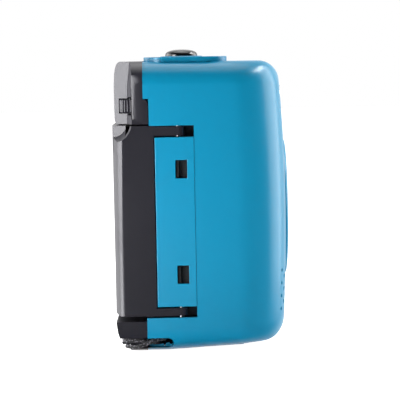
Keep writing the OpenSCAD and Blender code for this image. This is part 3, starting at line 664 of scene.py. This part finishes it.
def build_shell():
    shell = cut(casing_form(0, SHELL_REAR), casing_form(2, SHELL_REAR + 10))
    bosses = [rod("Z", (HINGE_X, HINGE_Y), 1.8, 78.4, 84, 32), rod("Z", (HINGE_X, HINGE_Y), 1.8, 8, 12.1, 32)]
    shell = join(shell, *bosses)
    slot_end = 13.2
    slot = [(slot_end + 1.9 * math.cos(math.radians(a)), 3.4 + 1.9 * math.sin(math.radians(a)))
            for a in range(90, 271, 15)]
    slot += [(30, 1.5), (30, 5.3)]
    flash = rounded_outline(15, 79, 91, 3, centre=-24, arc=6, runs=(1, 1))
    finder = rounded_outline(7, 80, 91, 3, centre=22, arc=6, runs=(1, 1))
    cutters = [
        block((-HALF_W - 1, 3, 12.3), (-HALF_W + 6, 40, 78.2)),
        prism(slot, "X", -HALF_W - 1, -HALF_W + 8),
        block((-HALF_W - 1, 18.3, 78), (-HALF_W + 2.6, 30, 87.4)),
        rod("Y", (0, LENS_Z), 25.6, -40, -20, 128),
        prism(flash, "Y", -40, -20),
        prism(finder, "Y", -40, -20),
        rod("Y", (-1, 86), 1.9, -40, -20, 32),
        rod("Y", (6, 86), 1.9, -40, -20, 32),
        block((HALF_W - 8, 7.6, 15.8), (HALF_W + 1, 13.2, 74.8)),
        block((-54.2, -16.2, -1), (-44.8, 14.7, 4)),
        rod("Z", (20, -2), 5.02, -1, 10, 64),
        rod("Z", BUTTON_AT, 6, 98.8, 110, 64),
        rod("Z", BUTTON_AT, 3.5, 90, 110, 48),
        rod("Z", (-14, BUTTON_AT[1]), 3.1, 90, 110, 48),
    ]
    cutters += [rod("Z", spot, 1.3, -1, 8, 24) for spot in ((-30, -12), (-30, 14), (40, -12), (40, 14))]
    shell = cut(shell, *cutters)
    shell = cut(shell, *grip_dimples())
    return finish_piece("front_casing", shell, MATERIALS["blue_casing"], "casing",
                        ["front_shell", "shell_top_wall", "shell_base_wall", "shell_hinge_wall",
                         "shell_exit_wall"],
                        edge=0.3, segments=2, angle=40)


def grip_dimples():
    """Small round dents in a staggered grid, low on the front corner."""
    dents = []
    for column, turn in enumerate((69, 79, 89)):
        for row in range(4 - column % 2):
            ball = bmesh.new()
            bmesh.ops.create_icosphere(ball, subdivisions=2, radius=0.9)
            along = math.radians(turn)
            height = 13.2 + 4.5 * row + 2.25 * (column % 2)
            spot = crowned(-45 - 17 * math.cos(along), FRONT_Y + 17 - 17 * math.sin(along), height)
            bmesh.ops.translate(ball, vec=spot + Vector((0.7, 0, 0)), verts=ball.verts)
            dents.append(ball)
    return dents


def build_side_cover():
    cover = block((-HALF_W + 0.05, 3.07, 16.1), (-HALF_W + 1.9, 16.45, 74.3))
    windows = [block((-HALF_W - 1, 5.5, z), (-HALF_W + 3, 9.5, z + 6.25)) for z in (24, 60.2)]
    cover = cut(cover, *windows)
    finish_piece("hinge_cover", cover, MATERIALS["blue_casing"], "casing",
                 ["hinge_side_cover"], edge=0.22, segments=3)
    clips = copy_of("cover_clips")
    finish_piece("snap_hooks", clips, MATERIALS["black_inner"], "casing",
                 ["cover_clips"], edge=0.15, segments=2)


def build_deck():
    outline = rounded_outline((DECK_HIGH.x - DECK_LOW.x) / 2, DECK_LOW.y, DECK_HIGH.y, 8,
                              centre=(DECK_HIGH.x + DECK_LOW.x) / 2, arc=12, runs=(2, 2))
    deck = prism(outline, "Z", DECK_LOW.z - 0.4, DECK_HIGH.z)
    deck = cut(deck, rod("Z", BUTTON_AT, 7.8, 90, 110, 96), rod("Z", (-14, BUTTON_AT[1]), 3.1, 90, 110, 64))
    finish_piece("raised_deck", deck, MATERIALS["blue_casing"], "casing",
                 ["top_deck"], edge=0.5, segments=4)
    collar = lathe([(6.0, 100.0), (7.7, 100.0), (7.7, 101.2), (7.3, 101.75), (6.7, 101.8), (6.25, 101.6),
                    (6.0, 101.2)], "Z", BUTTON_AT, steps=96)
    finish_piece("button_collar", collar, MATERIALS["blue_casing"], "casing",
                 ["shutter_collar"], angle=60)


# ---------- rear ----------


def thumb_rest():
    """The space that the thumb rest takes out of the rear corner, through block and door."""
    arc = [90 + 15 * step for step in range(7)]
    outer = [(23.9, 103), (23.9, 90)]
    outer += [(31.2 + 7.3 * math.cos(math.radians(a + 90)), 79.5 + 7.3 * math.sin(math.radians(a + 90)))
              for a in arc]
    outer += [(36, 72.2), (36, 103)]
    inner = [(24.4, 103), (25.7, 91)]
    inner += [(31.2 + 5.3 * math.cos(math.radians(a + 90)), 79.5 + 5.3 * math.sin(math.radians(a + 90)))
              for a in arc]
    inner += [(36, 74.2), (36, 103)]
    outside = [Vector((-HALF_W - 0.6, y, z)) for y, z in outer]
    inside = [Vector((-55.5 + max(y - 25.7, -1.3) * 0.55, y, z)) for y, z in inner]
    return loft([outside, inside])


BLOCK_SIDE = [
    (0, 78.8), (28.9, 78.8), (29.8, 79.1), (30.2, 79.8), (30.3, 81), (30.3, 92), (30.1, 96), (29.7, 98.2),
    (29.2, 99.4), (28.4, 100.1), (27.4, 100.3), (0, 100.3),
]


def build_rear_frame():
    upper = prism([(-HALF_W, SHELL_REAR), (-HALF_W, BLOCK_Y - 2.2), (-61, BLOCK_Y - 0.9), (-57, BLOCK_Y),
                   (56, BLOCK_Y), (60, 29.3), (HALF_W, 26.6), (HALF_W, SHELL_REAR)], "Z", 78.8, REAR_HIGH.z)
    upper = combine(upper, [prism(BLOCK_SIDE, "X", -HALF_W - 1, HALF_W + 1)], "INTERSECT")
    tab_side = [(18.5, 78.8), (SHELL_REAR + 1, 78.8), (SHELL_REAR + 1, 87.2), (20.2, 87.2), (19.3, 86.95),
                (18.75, 86.4), (18.5, 85.5)]
    tab = prism(tab_side, "X", -HALF_W, -HALF_W + 2.4)
    flange = prism(rounded_outline(59.8, 2.2, 97.8, 5.8, arc=6, runs=(1, 1)), "Y", 18.2, SHELL_REAR + 0.01)
    pillar = block((57, SHELL_REAR, 11), (HALF_W, 29.6, 79))
    wall = block((-57.2, 0, 11), (-56.2, 18.4, 79))
    foot = prism([(SHELL_REAR, 0.3), (25.1, 0.3), (28.6, 1.6), (29.5, 4.7), (30.3, 7.4), (30.8, 11.1),
                  (SHELL_REAR, 11.1)], "X", -HALF_W, HALF_W)
    body = join(upper, tab, flange, pillar, wall, foot)
    limit = prism(rounded_outline(HALF_W, 0.2, REAR_HIGH.z, SIDE_R, arc=12, runs=(1, 1)), "Y", -20, 40)
    body = combine(body, [limit], "INTERSECT")
    cutters = [
        thumb_rest(),
        block((-49, 15, 80.8), (57, 29.3, 98.2)),
        block((-52, 15, 2), (60, 24.6, 9.5)),
        block((-43.7, 10, 12.4), (52, 30, 78.6)),
        block((-70, 10, 12.3), (-59.55, 30, 78.4)),
        block((-70, 12, -1), (-50, 20.3, 8)),
        block((-70, 19, -1), (-57.8, 40, 5.4)),
        block((-59.4, 20.1, 2), (-51, 22.2, 5.4)),
        block((-59, 27.3, 3.6), (-33, 40, 5.2)),
        block((-59, 26.3, -1), (-39, 40, 2.9)),
        block((-40, 25.9, -1), (70, 40, 4.6)),
        prism([(-62.3, 21.6), (-61.25, 24.1), (-62.3, 24.6)], "Z", 80.5, 102),
        block((56.9, 26.8, 37.5), (60.3, 31, 48.5)),
        rod("Z", WHEEL_AT, 4.3, 82.4, 87.6, 64),
        rod("Z", WHEEL_AT, 1.04, 80.1, 89.9, 32),
        block((-62.5, 24, 81.8), (-57, 33, 88.1)),
        rod("Y", (22, 88.5), 7.1, 0, 40, 96),
        block((-14, 25, 83), (8, 40, 95)),
        rod("Y", (-34, 89), 2.85, 10, 40, 48),
        rod("Y", (-24, 89), 2.85, 10, 40, 48),
    ]
    body = cut(body, *cutters)
    finish_piece("rear_body", body, MATERIALS["black_frame"], "casing",
                 ["rear_frame"], edge=0.35, segments=3)


def build_door():
    fall, fall_x = 2.3, 17
    outline = [(-HALF_W, 16.8), (-HALF_W, 27.4), (-61.3, 28.7)]
    outline += [(-61 + fall_x * k / 10, BACK_Y + 0.2 - fall * (1 - k / 10) ** 2) for k in range(11)]
    outline += [(52, BACK_Y), (55, 30.8), (DOOR_HIGH.x, 29.4), (DOOR_HIGH.x, 28.6), (-58.6, 28.6),
                (HINGE_X, 27.2), (HINGE_X, 16.8)]
    door = prism(outline, "Z", DOOR_LOW.z, DOOR_HIGH.z)
    backing = prism([(-60, 26.5), (-50, 26.5), (-50, 30.9), (-54, 30.9), (-60, 27.6)], "Z", 69, DOOR_HIGH.z)
    parts = [backing, block((52.2, 25.6, 40), (DOOR_HIGH.x, 28.7, 50))]
    for low, high in ((13, 15.6), (74.8, 77.9)):
        parts.append(block((-HALF_W, HINGE_Y, low), (HINGE_X, 17.2, high)))
        parts.append(rod("Z", (HINGE_X, HINGE_Y), 2, low, high, 48))
    door = join(door, *parts)
    cutters = [thumb_rest(), block((53, 26.6, 41), (60, 27.8, 49)),
               prism(rounded_outline(6, 36, 54, 2, centre=8, arc=6, runs=(1, 1)), "Y", 20, 40)]
    cutters += [rod("Z", (HINGE_X, HINGE_Y), 0.95, z, z + 5, 32) for z in (12, 74)]
    door = cut(door, *cutters)
    finish_piece("back_door", door, MATERIALS["black_frame"], "door",
                 ["film_door"], edge=0.4, segments=3)


# ---------- lens and controls ----------


def build_lens():
    ring = lathe([(21.55, -24.6), (26.9, -24.6), (26.9, -25.8), (25.5, -26.4), (25.5, -29.4),
                  (25.4, -29.8), (25.1, -30.15), (24.5, -30.4), (23.2, -30.55), (22.2, -30.55),
                  (21.8, -30.45), (21.55, -30.2)],
                 "Y", (0, LENS_Z), steps=160)
    finish_piece("lens_surround", ring, MATERIALS["blue_casing"], "casing",
                 ["lens_ring"], angle=50)


def build_barrels():
    """Two telescoping barrels, stepped rings round the lens and the lens itself."""
    low, high = (corner / MM for corner in map(Vector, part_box("outer_barrel")))
    front, rear, radius = low.y, high.y, (high.x - low.x) / 2
    grooves = []
    for step in range(5):
        y = rear - 1.5 - 1.6 * step
        grooves += [(radius, y), (radius - 0.25, y - 0.2), (radius - 0.25, y - 0.6), (radius, y - 0.8)]
    outer = [(radius - 1.6, rear), (radius, rear)] + grooves
    outer += [(radius, front + 0.5), (radius - 0.15, front + 0.15), (radius - 0.5, front),
              (radius - 3.1, front), (radius - 3.3, front + 0.2), (radius - 3.3, front + 2),
              (radius - 1.6, front + 2)]
    finish_piece("first_barrel_tube", lathe(outer, "Y", (0, LENS_Z), 128), MATERIALS["black_frame"],
                 "first_barrel", ["outer_barrel"], angle=30)
    low, high = (corner / MM for corner in map(Vector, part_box("inner_barrel")))
    front, rear = low.y, high.y
    radius = radius - 3.35
    inner = [(radius - 1.5, rear), (radius + 1.7, rear), (radius + 1.7, rear - 2.6), (radius, rear - 2.6),
             (radius, front + 0.5), (radius - 0.15, front + 0.15), (radius - 0.5, front), (15.2, front),
             (15, front + 0.25), (14.9, front + 0.6), (12.6, front + 0.7), (12.5, front + 1),
             (10.4, front + 1.1), (10.3, front + 1.4), (8.6, front + 1.45), (8.3, front + 0.7),
             (8.0, front + 0.45), (7.4, front + 0.45), (7.05, front + 0.8), (7.0, front + 2),
             (radius - 1.5, front + 2)]
    finish_piece("second_barrel_tube", lathe(inner, "Y", (0, LENS_Z), 128), MATERIALS["black_gloss"],
                 "second_barrel", ["inner_barrel"], angle=30)
    low, high = (corner / MM for corner in map(Vector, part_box("lens_glass")))
    front, rear, radius = low.y, high.y, (high.x - low.x) / 2
    dome = [(0, front)] + [(radius * k / 8, front + 1.1 * (k / 8) ** 2) for k in range(1, 9)]
    dome += [(radius, rear), (0, rear)]
    finish_piece("front_lens", lathe(dome, "Y", (0, LENS_Z), 96, closed=False), MATERIALS["lens"],
                 "second_barrel", ["lens_glass"], angle=50)


def rounded_window(node, radius, edge, name, material):
    """A moulded window with round corners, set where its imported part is."""
    low, high = (corner / MM for corner in map(Vector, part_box(node)))
    outline = rounded_outline((high.x - low.x) / 2, low.z, high.z, radius, (low.x + high.x) / 2, 8, (1, 1))
    pane = prism(outline, "Y", low.y, high.y)
    body = next(b for b, nodes in frame["record"]["behaviour"]["bodies"].items() if node in nodes)
    return finish_piece(name, pane, material, body, [node], edge=edge, segments=3)


def build_windows():
    """Flash, viewfinder, film check window, display and eyepiece."""
    low, high = (corner / MM for corner in map(Vector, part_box("flash_window")))
    teeth = [(low.x, low.y)]
    count = 26
    for step in range(count):
        left = low.x + (high.x - low.x) * step / count
        teeth += [(left, high.y - 0.5), (left + (high.x - low.x) / count / 2, high.y)]
    teeth += [(high.x, high.y - 0.5), (high.x, low.y)]
    ribbed = prism(teeth, "Z", low.z, high.z)
    outline = rounded_outline((high.x - low.x) / 2, low.z, high.z, 2.9, (low.x + high.x) / 2, 8, (1, 1))
    ribbed = combine(ribbed, [prism(outline, "Y", low.y, high.y)], "INTERSECT")
    finish_piece("flash_lens", ribbed, MATERIALS["clear"], "casing", ["flash_window"], edge=0.15,
                 segments=2)
    rounded_window("viewfinder_window", 2.9, 0.4, "viewfinder_lens", MATERIALS["clear"])
    rounded_window("film_check_window", 1.9, 0.3, "film_check_pane", MATERIALS["amber"])
    rounded_window("counter_display", 1.2, 0.3, "display_pane", MATERIALS["display"])
    low, high = (corner / MM for corner in map(Vector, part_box("viewfinder_eyepiece")))
    centre, rear = ((low.x + high.x) / 2, (low.z + high.z) / 2), high.y
    cup = [(4.6, low.y), (6.2, low.y), (6.2, 26), (7, 26), (7, rear - 0.6), (6.8, rear - 0.2), (6.4, rear),
           (5.9, rear), (5.5, rear - 0.2), (5.2, rear - 0.6), (5.2, 29.6), (4.6, 29)]
    finish_piece("eyepiece_cup", lathe(cup, "Y", centre, 96), MATERIALS["black_frame"], "casing",
                 ["viewfinder_eyepiece"], angle=40)
    low, high = (corner / MM for corner in map(Vector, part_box("viewfinder_ocular")))
    radius = (high.x - low.x) / 2
    lens = [(0, low.y), (radius, low.y), (radius, high.y - 0.6)]
    lens += [(radius * (1 - k / 6), high.y - 0.6 * (1 - k / 6) ** 2) for k in range(1, 7)]
    finish_piece("eyepiece_lens", lathe(lens, "Y", centre, 64, closed=False), MATERIALS["clear"], "casing",
                 ["viewfinder_ocular"], angle=50)


SOFT_COPIES = [
    ("door_latch", "latch_key", "black_gloss", 0.3), ("battery_door", "battery_lid", "blue_casing", 0.2),
    ("exit_guide", "film_exit_lips", "black_frame", 0.25), ("casing_screws", "base_screws", "steel", 0.2),
    ("film_chamber", "film_chamber_walls", "black_inner", 0.3),
    ("film_cartridge", "film_cartridge_shell", "black_frame", 0.4),
    ("roller_bracket", "roller_plates", "steel", 0.15), ("hinge_pins", "hinge_pin_rods", "steel", 0.1),
    ("light_sensor_windows", "sensor_lenses", "clear", 0.3), ("battery", "battery_cell", "battery_wrap", 0.5),
]


def build_soft_copies():
    """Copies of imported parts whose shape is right, with their edges rounded."""
    bodies = {node: body for body, nodes in frame["record"]["behaviour"]["bodies"].items() for node in nodes}
    for node, name, slot, edge in SOFT_COPIES:
        finish_piece(name, copy_of(node), MATERIALS[slot], bodies[node], [node], edge=edge,
                     segments=2, angle=40)
    low, high = (corner / MM for corner in map(Vector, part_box("tripod_bush")))
    centre, outer, bore = ((low.x + high.x) / 2, (low.y + high.y) / 2), (high.x - low.x) / 2, 3.2
    thread = [(outer - 0.3, 0), (outer, 0.3), (outer, high.z), (0, high.z), (0, 5.6), (bore, 5.6)]
    for turn in range(6):
        z = 5.2 - turn * 0.8
        thread += [(bore - 0.35, z), (bore, z - 0.4)]
    thread += [(bore + 0.4, 0)]
    finish_piece("tripod_socket_bush", lathe(thread, "Z", centre, 64), MATERIALS["brass"], "casing",
                 ["tripod_bush"], angle=30)


def build_release():
    """The domed shutter button on its stem."""
    top = BUTTON_HIGH.z
    dome = [(0, 0), (1.5, -0.05), (2.8, -0.18), (3.9, -0.4), (4.7, -0.7), (5.2, -1.0), (5.5, -1.35),
            (5.66, -1.8), (BUTTON_R, -2.3), (BUTTON_R, -3.5), (3.2, -3.6), (3.2, 96 - top), (0, 96 - top)]
    button = lathe([(radius, top + fall) for radius, fall in dome], "Z", BUTTON_AT, closed=False)
    finish_piece("release_button", button, MATERIALS["black_gloss"], "shutter_release",
                 ["shutter_button"], angle=50)


def key_profile(low, high, radius):
    """A small key with a rounded rim and a slightly dished top."""
    rim = high - 0.35
    return [(0, high - 0.15), (radius * 0.5, high - 0.1), (radius * 0.8, high), (radius * 0.93, high - 0.1),
            (radius, rim), (radius, low), (0, low)]


def build_keys():
    """The power key on the deck and the two mode keys behind."""
    low, high = (corner / MM for corner in map(Vector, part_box("power_button")))
    centre = ((low.x + high.x) / 2, (low.y + high.y) / 2)
    key = lathe(key_profile(low.z, high.z, (high.x - low.x) / 2), "Z", centre, steps=64, closed=False)
    finish_piece("power_key_cap", key, MATERIALS["black_gloss"], "power_key",
                 ["power_button"], angle=50)
    for side in ("left", "right"):
        node = "mode_button_" + side
        low, high = (corner / MM for corner in map(Vector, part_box(node)))
        centre = ((low.x + high.x) / 2, (low.z + high.z) / 2)
        key = lathe(key_profile(low.y, high.y, (high.x - low.x) / 2), "Y", centre, steps=64, closed=False)
        finish_piece("mode_key_cap_" + side, key, MATERIALS["black_gloss"], "mode_key_" + side,
                     [node], angle=50)


def build_thumbwheel():
    """The ribbed wheel on its axle."""
    centre = Vector((*WHEEL_AT, 0))
    ribs, rings = 22, []
    for z, scale in ((82.7, 0.93), (83.1, 1.0), (86.9, 1.0), (87.3, 0.93)):
        ring = []
        for step in range(ribs * 6):
            angle = 2 * math.pi * step / (ribs * 6)
            crest = 0.5 + 0.5 * math.cos(ribs * angle)
            r = (3.62 + 0.38 * crest ** 0.6) * scale
            ring.append(centre + Vector((r * math.cos(angle), r * math.sin(angle), z)))
        rings.append(ring)
    wheel = join(loft(rings), rod("Z", WHEEL_AT, 1, 80.3, 89.7, 32))
    finish_piece("ribbed_wheel", wheel, MATERIALS["black_frame"], "wheel",
                 ["thumbwheel"], angle=60)


# ---------- strap ----------


def build_cord(name, route, diameter, material, node, sides=16, steps=8):
    """A tube swept along a route, with a UV map that runs round and along it."""
    points = smooth_route(route, steps)
    bm = bmesh.new()
    uv = bm.loops.layers.uv.new("along_cord")
    rings, lengths, length = [], [], 0.0
    for index, point in enumerate(points):
        if index:
            length += (point - points[index - 1]).length
        ahead = (points[min(index + 1, len(points) - 1)] - points[max(index - 1, 0)]).normalized()
        across = ahead.cross(Vector((0, 0, 1))).normalized()
        up = across.cross(ahead)
        ring = [point + diameter / 2 * (across * math.cos(2 * math.pi * k / sides)
                                        + up * math.sin(2 * math.pi * k / sides)) for k in range(sides)]
        rings.append([bm.verts.new(co) for co in ring])
        lengths.append(length)
    for index in range(len(rings) - 1):
        for k in range(sides):
            quad = (rings[index][k], rings[index][(k + 1) % sides],
                    rings[index + 1][(k + 1) % sides], rings[index + 1][k])
            face = bm.faces.new(quad)
            marks = ((k, index), (k + 1, index), (k + 1, index + 1), (k, index + 1))
            for loop, (turn, at) in zip(face.loops, marks):
                loop[uv].uv = (turn / sides, lengths[at] * MM)
    bm.faces.new(rings[0])
    bm.faces.new(rings[-1])
    bmesh.ops.recalc_face_normals(bm, faces=bm.faces)
    obj = finish_piece(name, bm, material, "casing", [node], angle=70)
    return obj, [tuple(point * MM) for point in points], length * MM


def build_strap():
    """The thin cord, the joiner it ends in, and the wrist loop."""
    joiner = lathe([(0, -2), (1.4, -2), (1.85, -1.8), (2.1, -1.2), (2.15, 0), (2.05, 4), (2.15, 8),
                    (2.1, 9.2), (1.85, 9.8), (1.4, 10), (0, 10)], "X", JOINER_AT, steps=48, closed=False)
    joiner = finish_piece("cord_joiner", joiner, MATERIALS["black_frame"], "casing",
                          ["strap_joiner"], angle=60)
    cord, path, length = build_cord("thin_strap_cord", CORD_ROUTE, CORD_D, MATERIALS["braid"], "strap_cord")
    loop, path, length = build_cord("wrist_cord", LOOP_ROUTE, LOOP_D, MATERIALS["loop_braid"], "wrist_loop")


# ---------- stage ----------


def aim_camera(look):
    """The camera looks at the hinge side from just above the top's height."""
    near = Vector((-HALF_W, look.view_y, look.view_z)) * MM
    eye = Vector((near.x - look.view_distance, near.y, look.eye_height))
    forward = (near - eye).normalized()
    right = forward.cross(Vector((0, 0, 1))).normalized()
    up = right.cross(forward)
    roll = look.view_roll
    level = right * math.cos(roll) - up * math.sin(roll)
    upright = up * math.cos(roll) + right * math.sin(roll)
    data = bpy.data.cameras.new("studio_camera")
    data.sensor_width = 36
    data.lens = 36 * look.view_distance / look.view_width
    data.clip_start, data.clip_end = 0.01, 50
    camera = bpy.data.objects.new("studio_camera", data)
    bpy.context.scene.collection.objects.link(camera)
    camera.matrix_world = Matrix.Translation(eye) @ Matrix((level, upright, -forward)).transposed().to_4x4()
    bpy.context.scene.camera = camera


def area_light(name, at, target, size, power, shines=True, lights=True):
    data = bpy.data.lights.new(name, "AREA")
    data.shape = "RECTANGLE"
    data.size, data.size_y = size
    data.energy = power
    light = bpy.data.objects.new(name, data)
    light.location = at
    light.rotation_euler = (Vector(target) - Vector(at)).to_track_quat("-Z", "Y").to_euler()
    light.visible_camera = False
    light.visible_glossy = shines
    light.visible_diffuse = lights
    bpy.context.scene.collection.objects.link(light)


def build_world():
    """A white backdrop beyond the object, and a dim room on the near side."""
    world = bpy.data.worlds.new("studio")
    bpy.context.scene.world = world
    world.use_nodes = True
    n = Nodes(world.node_tree)
    back = world.node_tree.nodes["Background"]
    back.inputs["Color"].default_value = (1, 1, 1, 1)
    direction = n.add("ShaderNodeSeparateXYZ", {0: n.add("ShaderNodeTexCoord").outputs["Generated"]})
    room = n.remap(direction.outputs[0], 0.0, 0.6, 0.03, 1.1)
    seen = n.add("ShaderNodeLightPath").outputs["Is Camera Ray"]
    strength = n.math("ADD", n.math("MULTIPLY", n.math("SUBTRACT", 1.0, seen), room), seen)
    world.node_tree.links.new(strength, back.inputs["Strength"])


def build_floor():
    """A plain white floor, as bright as the backdrop where it is seen."""
    floor = bmesh.new()
    bmesh.ops.create_grid(floor, x_segments=1, y_segments=1, size=3)
    mesh = bpy.data.meshes.new("floor")
    floor.to_mesh(mesh)
    floor.free()
    obj = bpy.data.objects.new("floor", mesh)
    bpy.context.scene.collection.objects.link(obj)
    material, shader, n = new_material("pale_floor")
    shader.inputs["Base Color"].default_value = (0.9, 0.9, 0.9, 1)
    shader.inputs["Roughness"].default_value = 0.9
    shader.inputs["Emission Color"].default_value = (1, 1, 1, 1)
    seen = n.add("ShaderNodeLightPath").outputs["Is Camera Ray"]
    n.tree.links.new(seen, shader.inputs["Emission Strength"])
    mesh.materials.append(material)
    obj.visible_glossy = False


def build_stage():
    build_floor()
    build_world()
    area_light("overhead", (0.02, -0.02, 0.6), (0, 0, 0.05), (0.5, 0.4), 1.9)
    area_light("rear_strip", (-0.13, 0.18, 0.03), (-0.06, 0, 0.03), (0.08, 0.1), 0.2, shines=False)
    area_light("floor_bounce", (-0.15, 0.05, 0.002), (-0.09, 0.0, 0.15), (0.1, 0.16), 0.3, shines=False)
    area_light("rear_panel", (0.1, 0.6, 0.2), (0, 0, 0.05), (0.6, 0.5), 4)
    area_light("front_panel", (0.15, -0.6, 0.2), (0, 0, 0.05), (0.5, 0.6), 4.5)
    area_light("corner_glint", (-0.4, 0.5, 0.06), (0, 0, 0.05), (0.24, 0.5), 7.0, lights=False)
    area_light("soft_box", (0.03, -0.4, 0.46), (-0.06, -0.02, 0.09), (0.26, 0.1), 2.6, lights=False)


# ---------- add-on ----------


class CameraLook(bpy.types.PropertyGroup):
    """Colours and views that a user would change."""

    casing_colour: bpy.props.FloatVectorProperty(
        name="Casing", description="Colour of the moulded casing", subtype="COLOR",
        default=(0.002, 0.285, 0.5))
    casing_roughness: bpy.props.FloatProperty(
        name="Casing Roughness", description="How matt the casing is", default=0.3, min=0, max=1,
        subtype="FACTOR")
    frame_colour: bpy.props.FloatVectorProperty(
        name="Frame", description="Colour of the rear frame and door", subtype="COLOR",
        default=(0.021, 0.02, 0.03))
    view_distance: bpy.props.FloatProperty(
        name="View Distance", description="From the camera to the near side", default=0.62, unit="LENGTH")
    view_width: bpy.props.FloatProperty(
        name="View Width", description="Width that the view takes in at the near side", default=0.1360,
        unit="LENGTH")
    eye_height: bpy.props.FloatProperty(
        name="Eye Height", description="Height of the camera above the floor", default=0.1, unit="LENGTH")
    view_y: bpy.props.FloatProperty(
        name="View Y", description="Middle of the view along Y, in millimetres", default=1.35)
    view_z: bpy.props.FloatProperty(
        name="View Z", description="Middle of the view's height, in millimetres", default=52.65)
    view_roll: bpy.props.FloatProperty(
        name="View Roll", description="How far the camera is turned about its axis",
        default=math.radians(1.1), subtype="ANGLE")


class OBJECT_OT_camera_stage(bpy.types.Operator):
    """Add the floor, the lights and the camera"""

    bl_idname = "instant.stage"
    bl_label = "Stage"
    bl_options = {"REGISTER", "UNDO"}

    def execute(self, context):
        aim_camera(context.scene.camera_look)
        build_stage()
        return {"FINISHED"}


class OBJECT_OT_camera_materials(bpy.types.Operator):
    """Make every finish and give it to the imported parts"""

    bl_idname = "instant.materials"
    bl_label = "Materials"
    bl_options = {"REGISTER", "UNDO"}

    def execute(self, context):
        build_materials(context.scene.camera_look)
        tint_packed_parts()
        return {"FINISHED"}


class OBJECT_OT_camera_strap(bpy.types.Operator):
    """Add the braided wrist strap"""

    bl_idname = "instant.strap"
    bl_label = "Strap"
    bl_options = {"REGISTER", "UNDO"}

    def execute(self, context):
        build_strap()
        return {"FINISHED"}


class OBJECT_OT_camera_casing(bpy.types.Operator):
    """Add the moulded casing and its grip dimples"""

    bl_idname = "instant.casing"
    bl_label = "Casing"
    bl_options = {"REGISTER", "UNDO"}

    def execute(self, context):
        build_shell()
        return {"FINISHED"}


class OBJECT_OT_camera_side_cover(bpy.types.Operator):
    """Add the cover beside the hinge"""

    bl_idname = "instant.side_cover"
    bl_label = "Side Cover"
    bl_options = {"REGISTER", "UNDO"}

    def execute(self, context):
        build_side_cover()
        return {"FINISHED"}


class OBJECT_OT_camera_deck(bpy.types.Operator):
    """Add the raised deck and the collar of the shutter button"""

    bl_idname = "instant.deck"
    bl_label = "Deck"
    bl_options = {"REGISTER", "UNDO"}

    def execute(self, context):
        build_deck()
        return {"FINISHED"}


class OBJECT_OT_camera_rear_frame(bpy.types.Operator):
    """Add the black rear frame with its thumb rest"""

    bl_idname = "instant.rear_frame"
    bl_label = "Rear Frame"
    bl_options = {"REGISTER", "UNDO"}

    def execute(self, context):
        build_rear_frame()
        return {"FINISHED"}


class OBJECT_OT_camera_door(bpy.types.Operator):
    """Add the film door and its hinge arms"""

    bl_idname = "instant.door"
    bl_label = "Door"
    bl_options = {"REGISTER", "UNDO"}

    def execute(self, context):
        build_door()
        return {"FINISHED"}


class OBJECT_OT_camera_lens(bpy.types.Operator):
    """Add the lens ring, the two barrels and the front lens"""

    bl_idname = "instant.lens"
    bl_label = "Lens"
    bl_options = {"REGISTER", "UNDO"}

    def execute(self, context):
        build_lens()
        build_barrels()
        return {"FINISHED"}


class OBJECT_OT_camera_keys(bpy.types.Operator):
    """Add the shutter button and the small keys"""

    bl_idname = "instant.keys"
    bl_label = "Keys"
    bl_options = {"REGISTER", "UNDO"}

    def execute(self, context):
        build_release()
        build_keys()
        return {"FINISHED"}


class OBJECT_OT_camera_wheel(bpy.types.Operator):
    """Add the ribbed thumbwheel"""

    bl_idname = "instant.wheel"
    bl_label = "Wheel"
    bl_options = {"REGISTER", "UNDO"}

    def execute(self, context):
        build_thumbwheel()
        return {"FINISHED"}


class OBJECT_OT_camera_windows(bpy.types.Operator):
    """Add the flash, viewfinder, film check and display panes"""

    bl_idname = "instant.windows"
    bl_label = "Windows"
    bl_options = {"REGISTER", "UNDO"}

    def execute(self, context):
        build_windows()
        return {"FINISHED"}


class OBJECT_OT_camera_small_parts(bpy.types.Operator):
    """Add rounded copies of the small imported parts"""

    bl_idname = "instant.small_parts"
    bl_label = "Small Parts"
    bl_options = {"REGISTER", "UNDO"}

    def execute(self, context):
        build_soft_copies()
        return {"FINISHED"}


STEPS = [
    OBJECT_OT_camera_stage,
    OBJECT_OT_camera_materials,
    OBJECT_OT_camera_strap,
    OBJECT_OT_camera_casing,
    OBJECT_OT_camera_side_cover,
    OBJECT_OT_camera_deck,
    OBJECT_OT_camera_rear_frame,
    OBJECT_OT_camera_door,
    OBJECT_OT_camera_lens,
    OBJECT_OT_camera_keys,
    OBJECT_OT_camera_wheel,
    OBJECT_OT_camera_windows,
    OBJECT_OT_camera_small_parts,
]


class VIEW3D_PT_instant_camera(bpy.types.Panel):
    """Lists the steps of the build"""

    bl_label = "Instant Camera"
    bl_idname = "VIEW3D_PT_instant_camera"
    bl_space_type = "VIEW_3D"
    bl_region_type = "UI"
    bl_category = "Instant Camera"

    def draw(self, context):
        look = context.scene.camera_look
        self.layout.prop(look, "casing_colour")
        self.layout.prop(look, "casing_roughness")
        self.layout.prop(look, "frame_colour")
        for made in STEPS:
            self.layout.operator(made.bl_idname)


CLASSES = [CameraLook, *STEPS, VIEW3D_PT_instant_camera]


def register():
    for made in CLASSES:
        bpy.utils.register_class(made)
    bpy.types.Scene.camera_look = bpy.props.PointerProperty(type=CameraLook)


def unregister():
    del bpy.types.Scene.camera_look
    for made in reversed(CLASSES):
        bpy.utils.unregister_class(made)


def main():
    register()
    bpy.context.scene.view_settings.view_transform = "Standard"
    for made in STEPS:
        getattr(bpy.ops.instant, made.bl_idname.split(".")[1])()


if __name__ == "__main__":
    main()
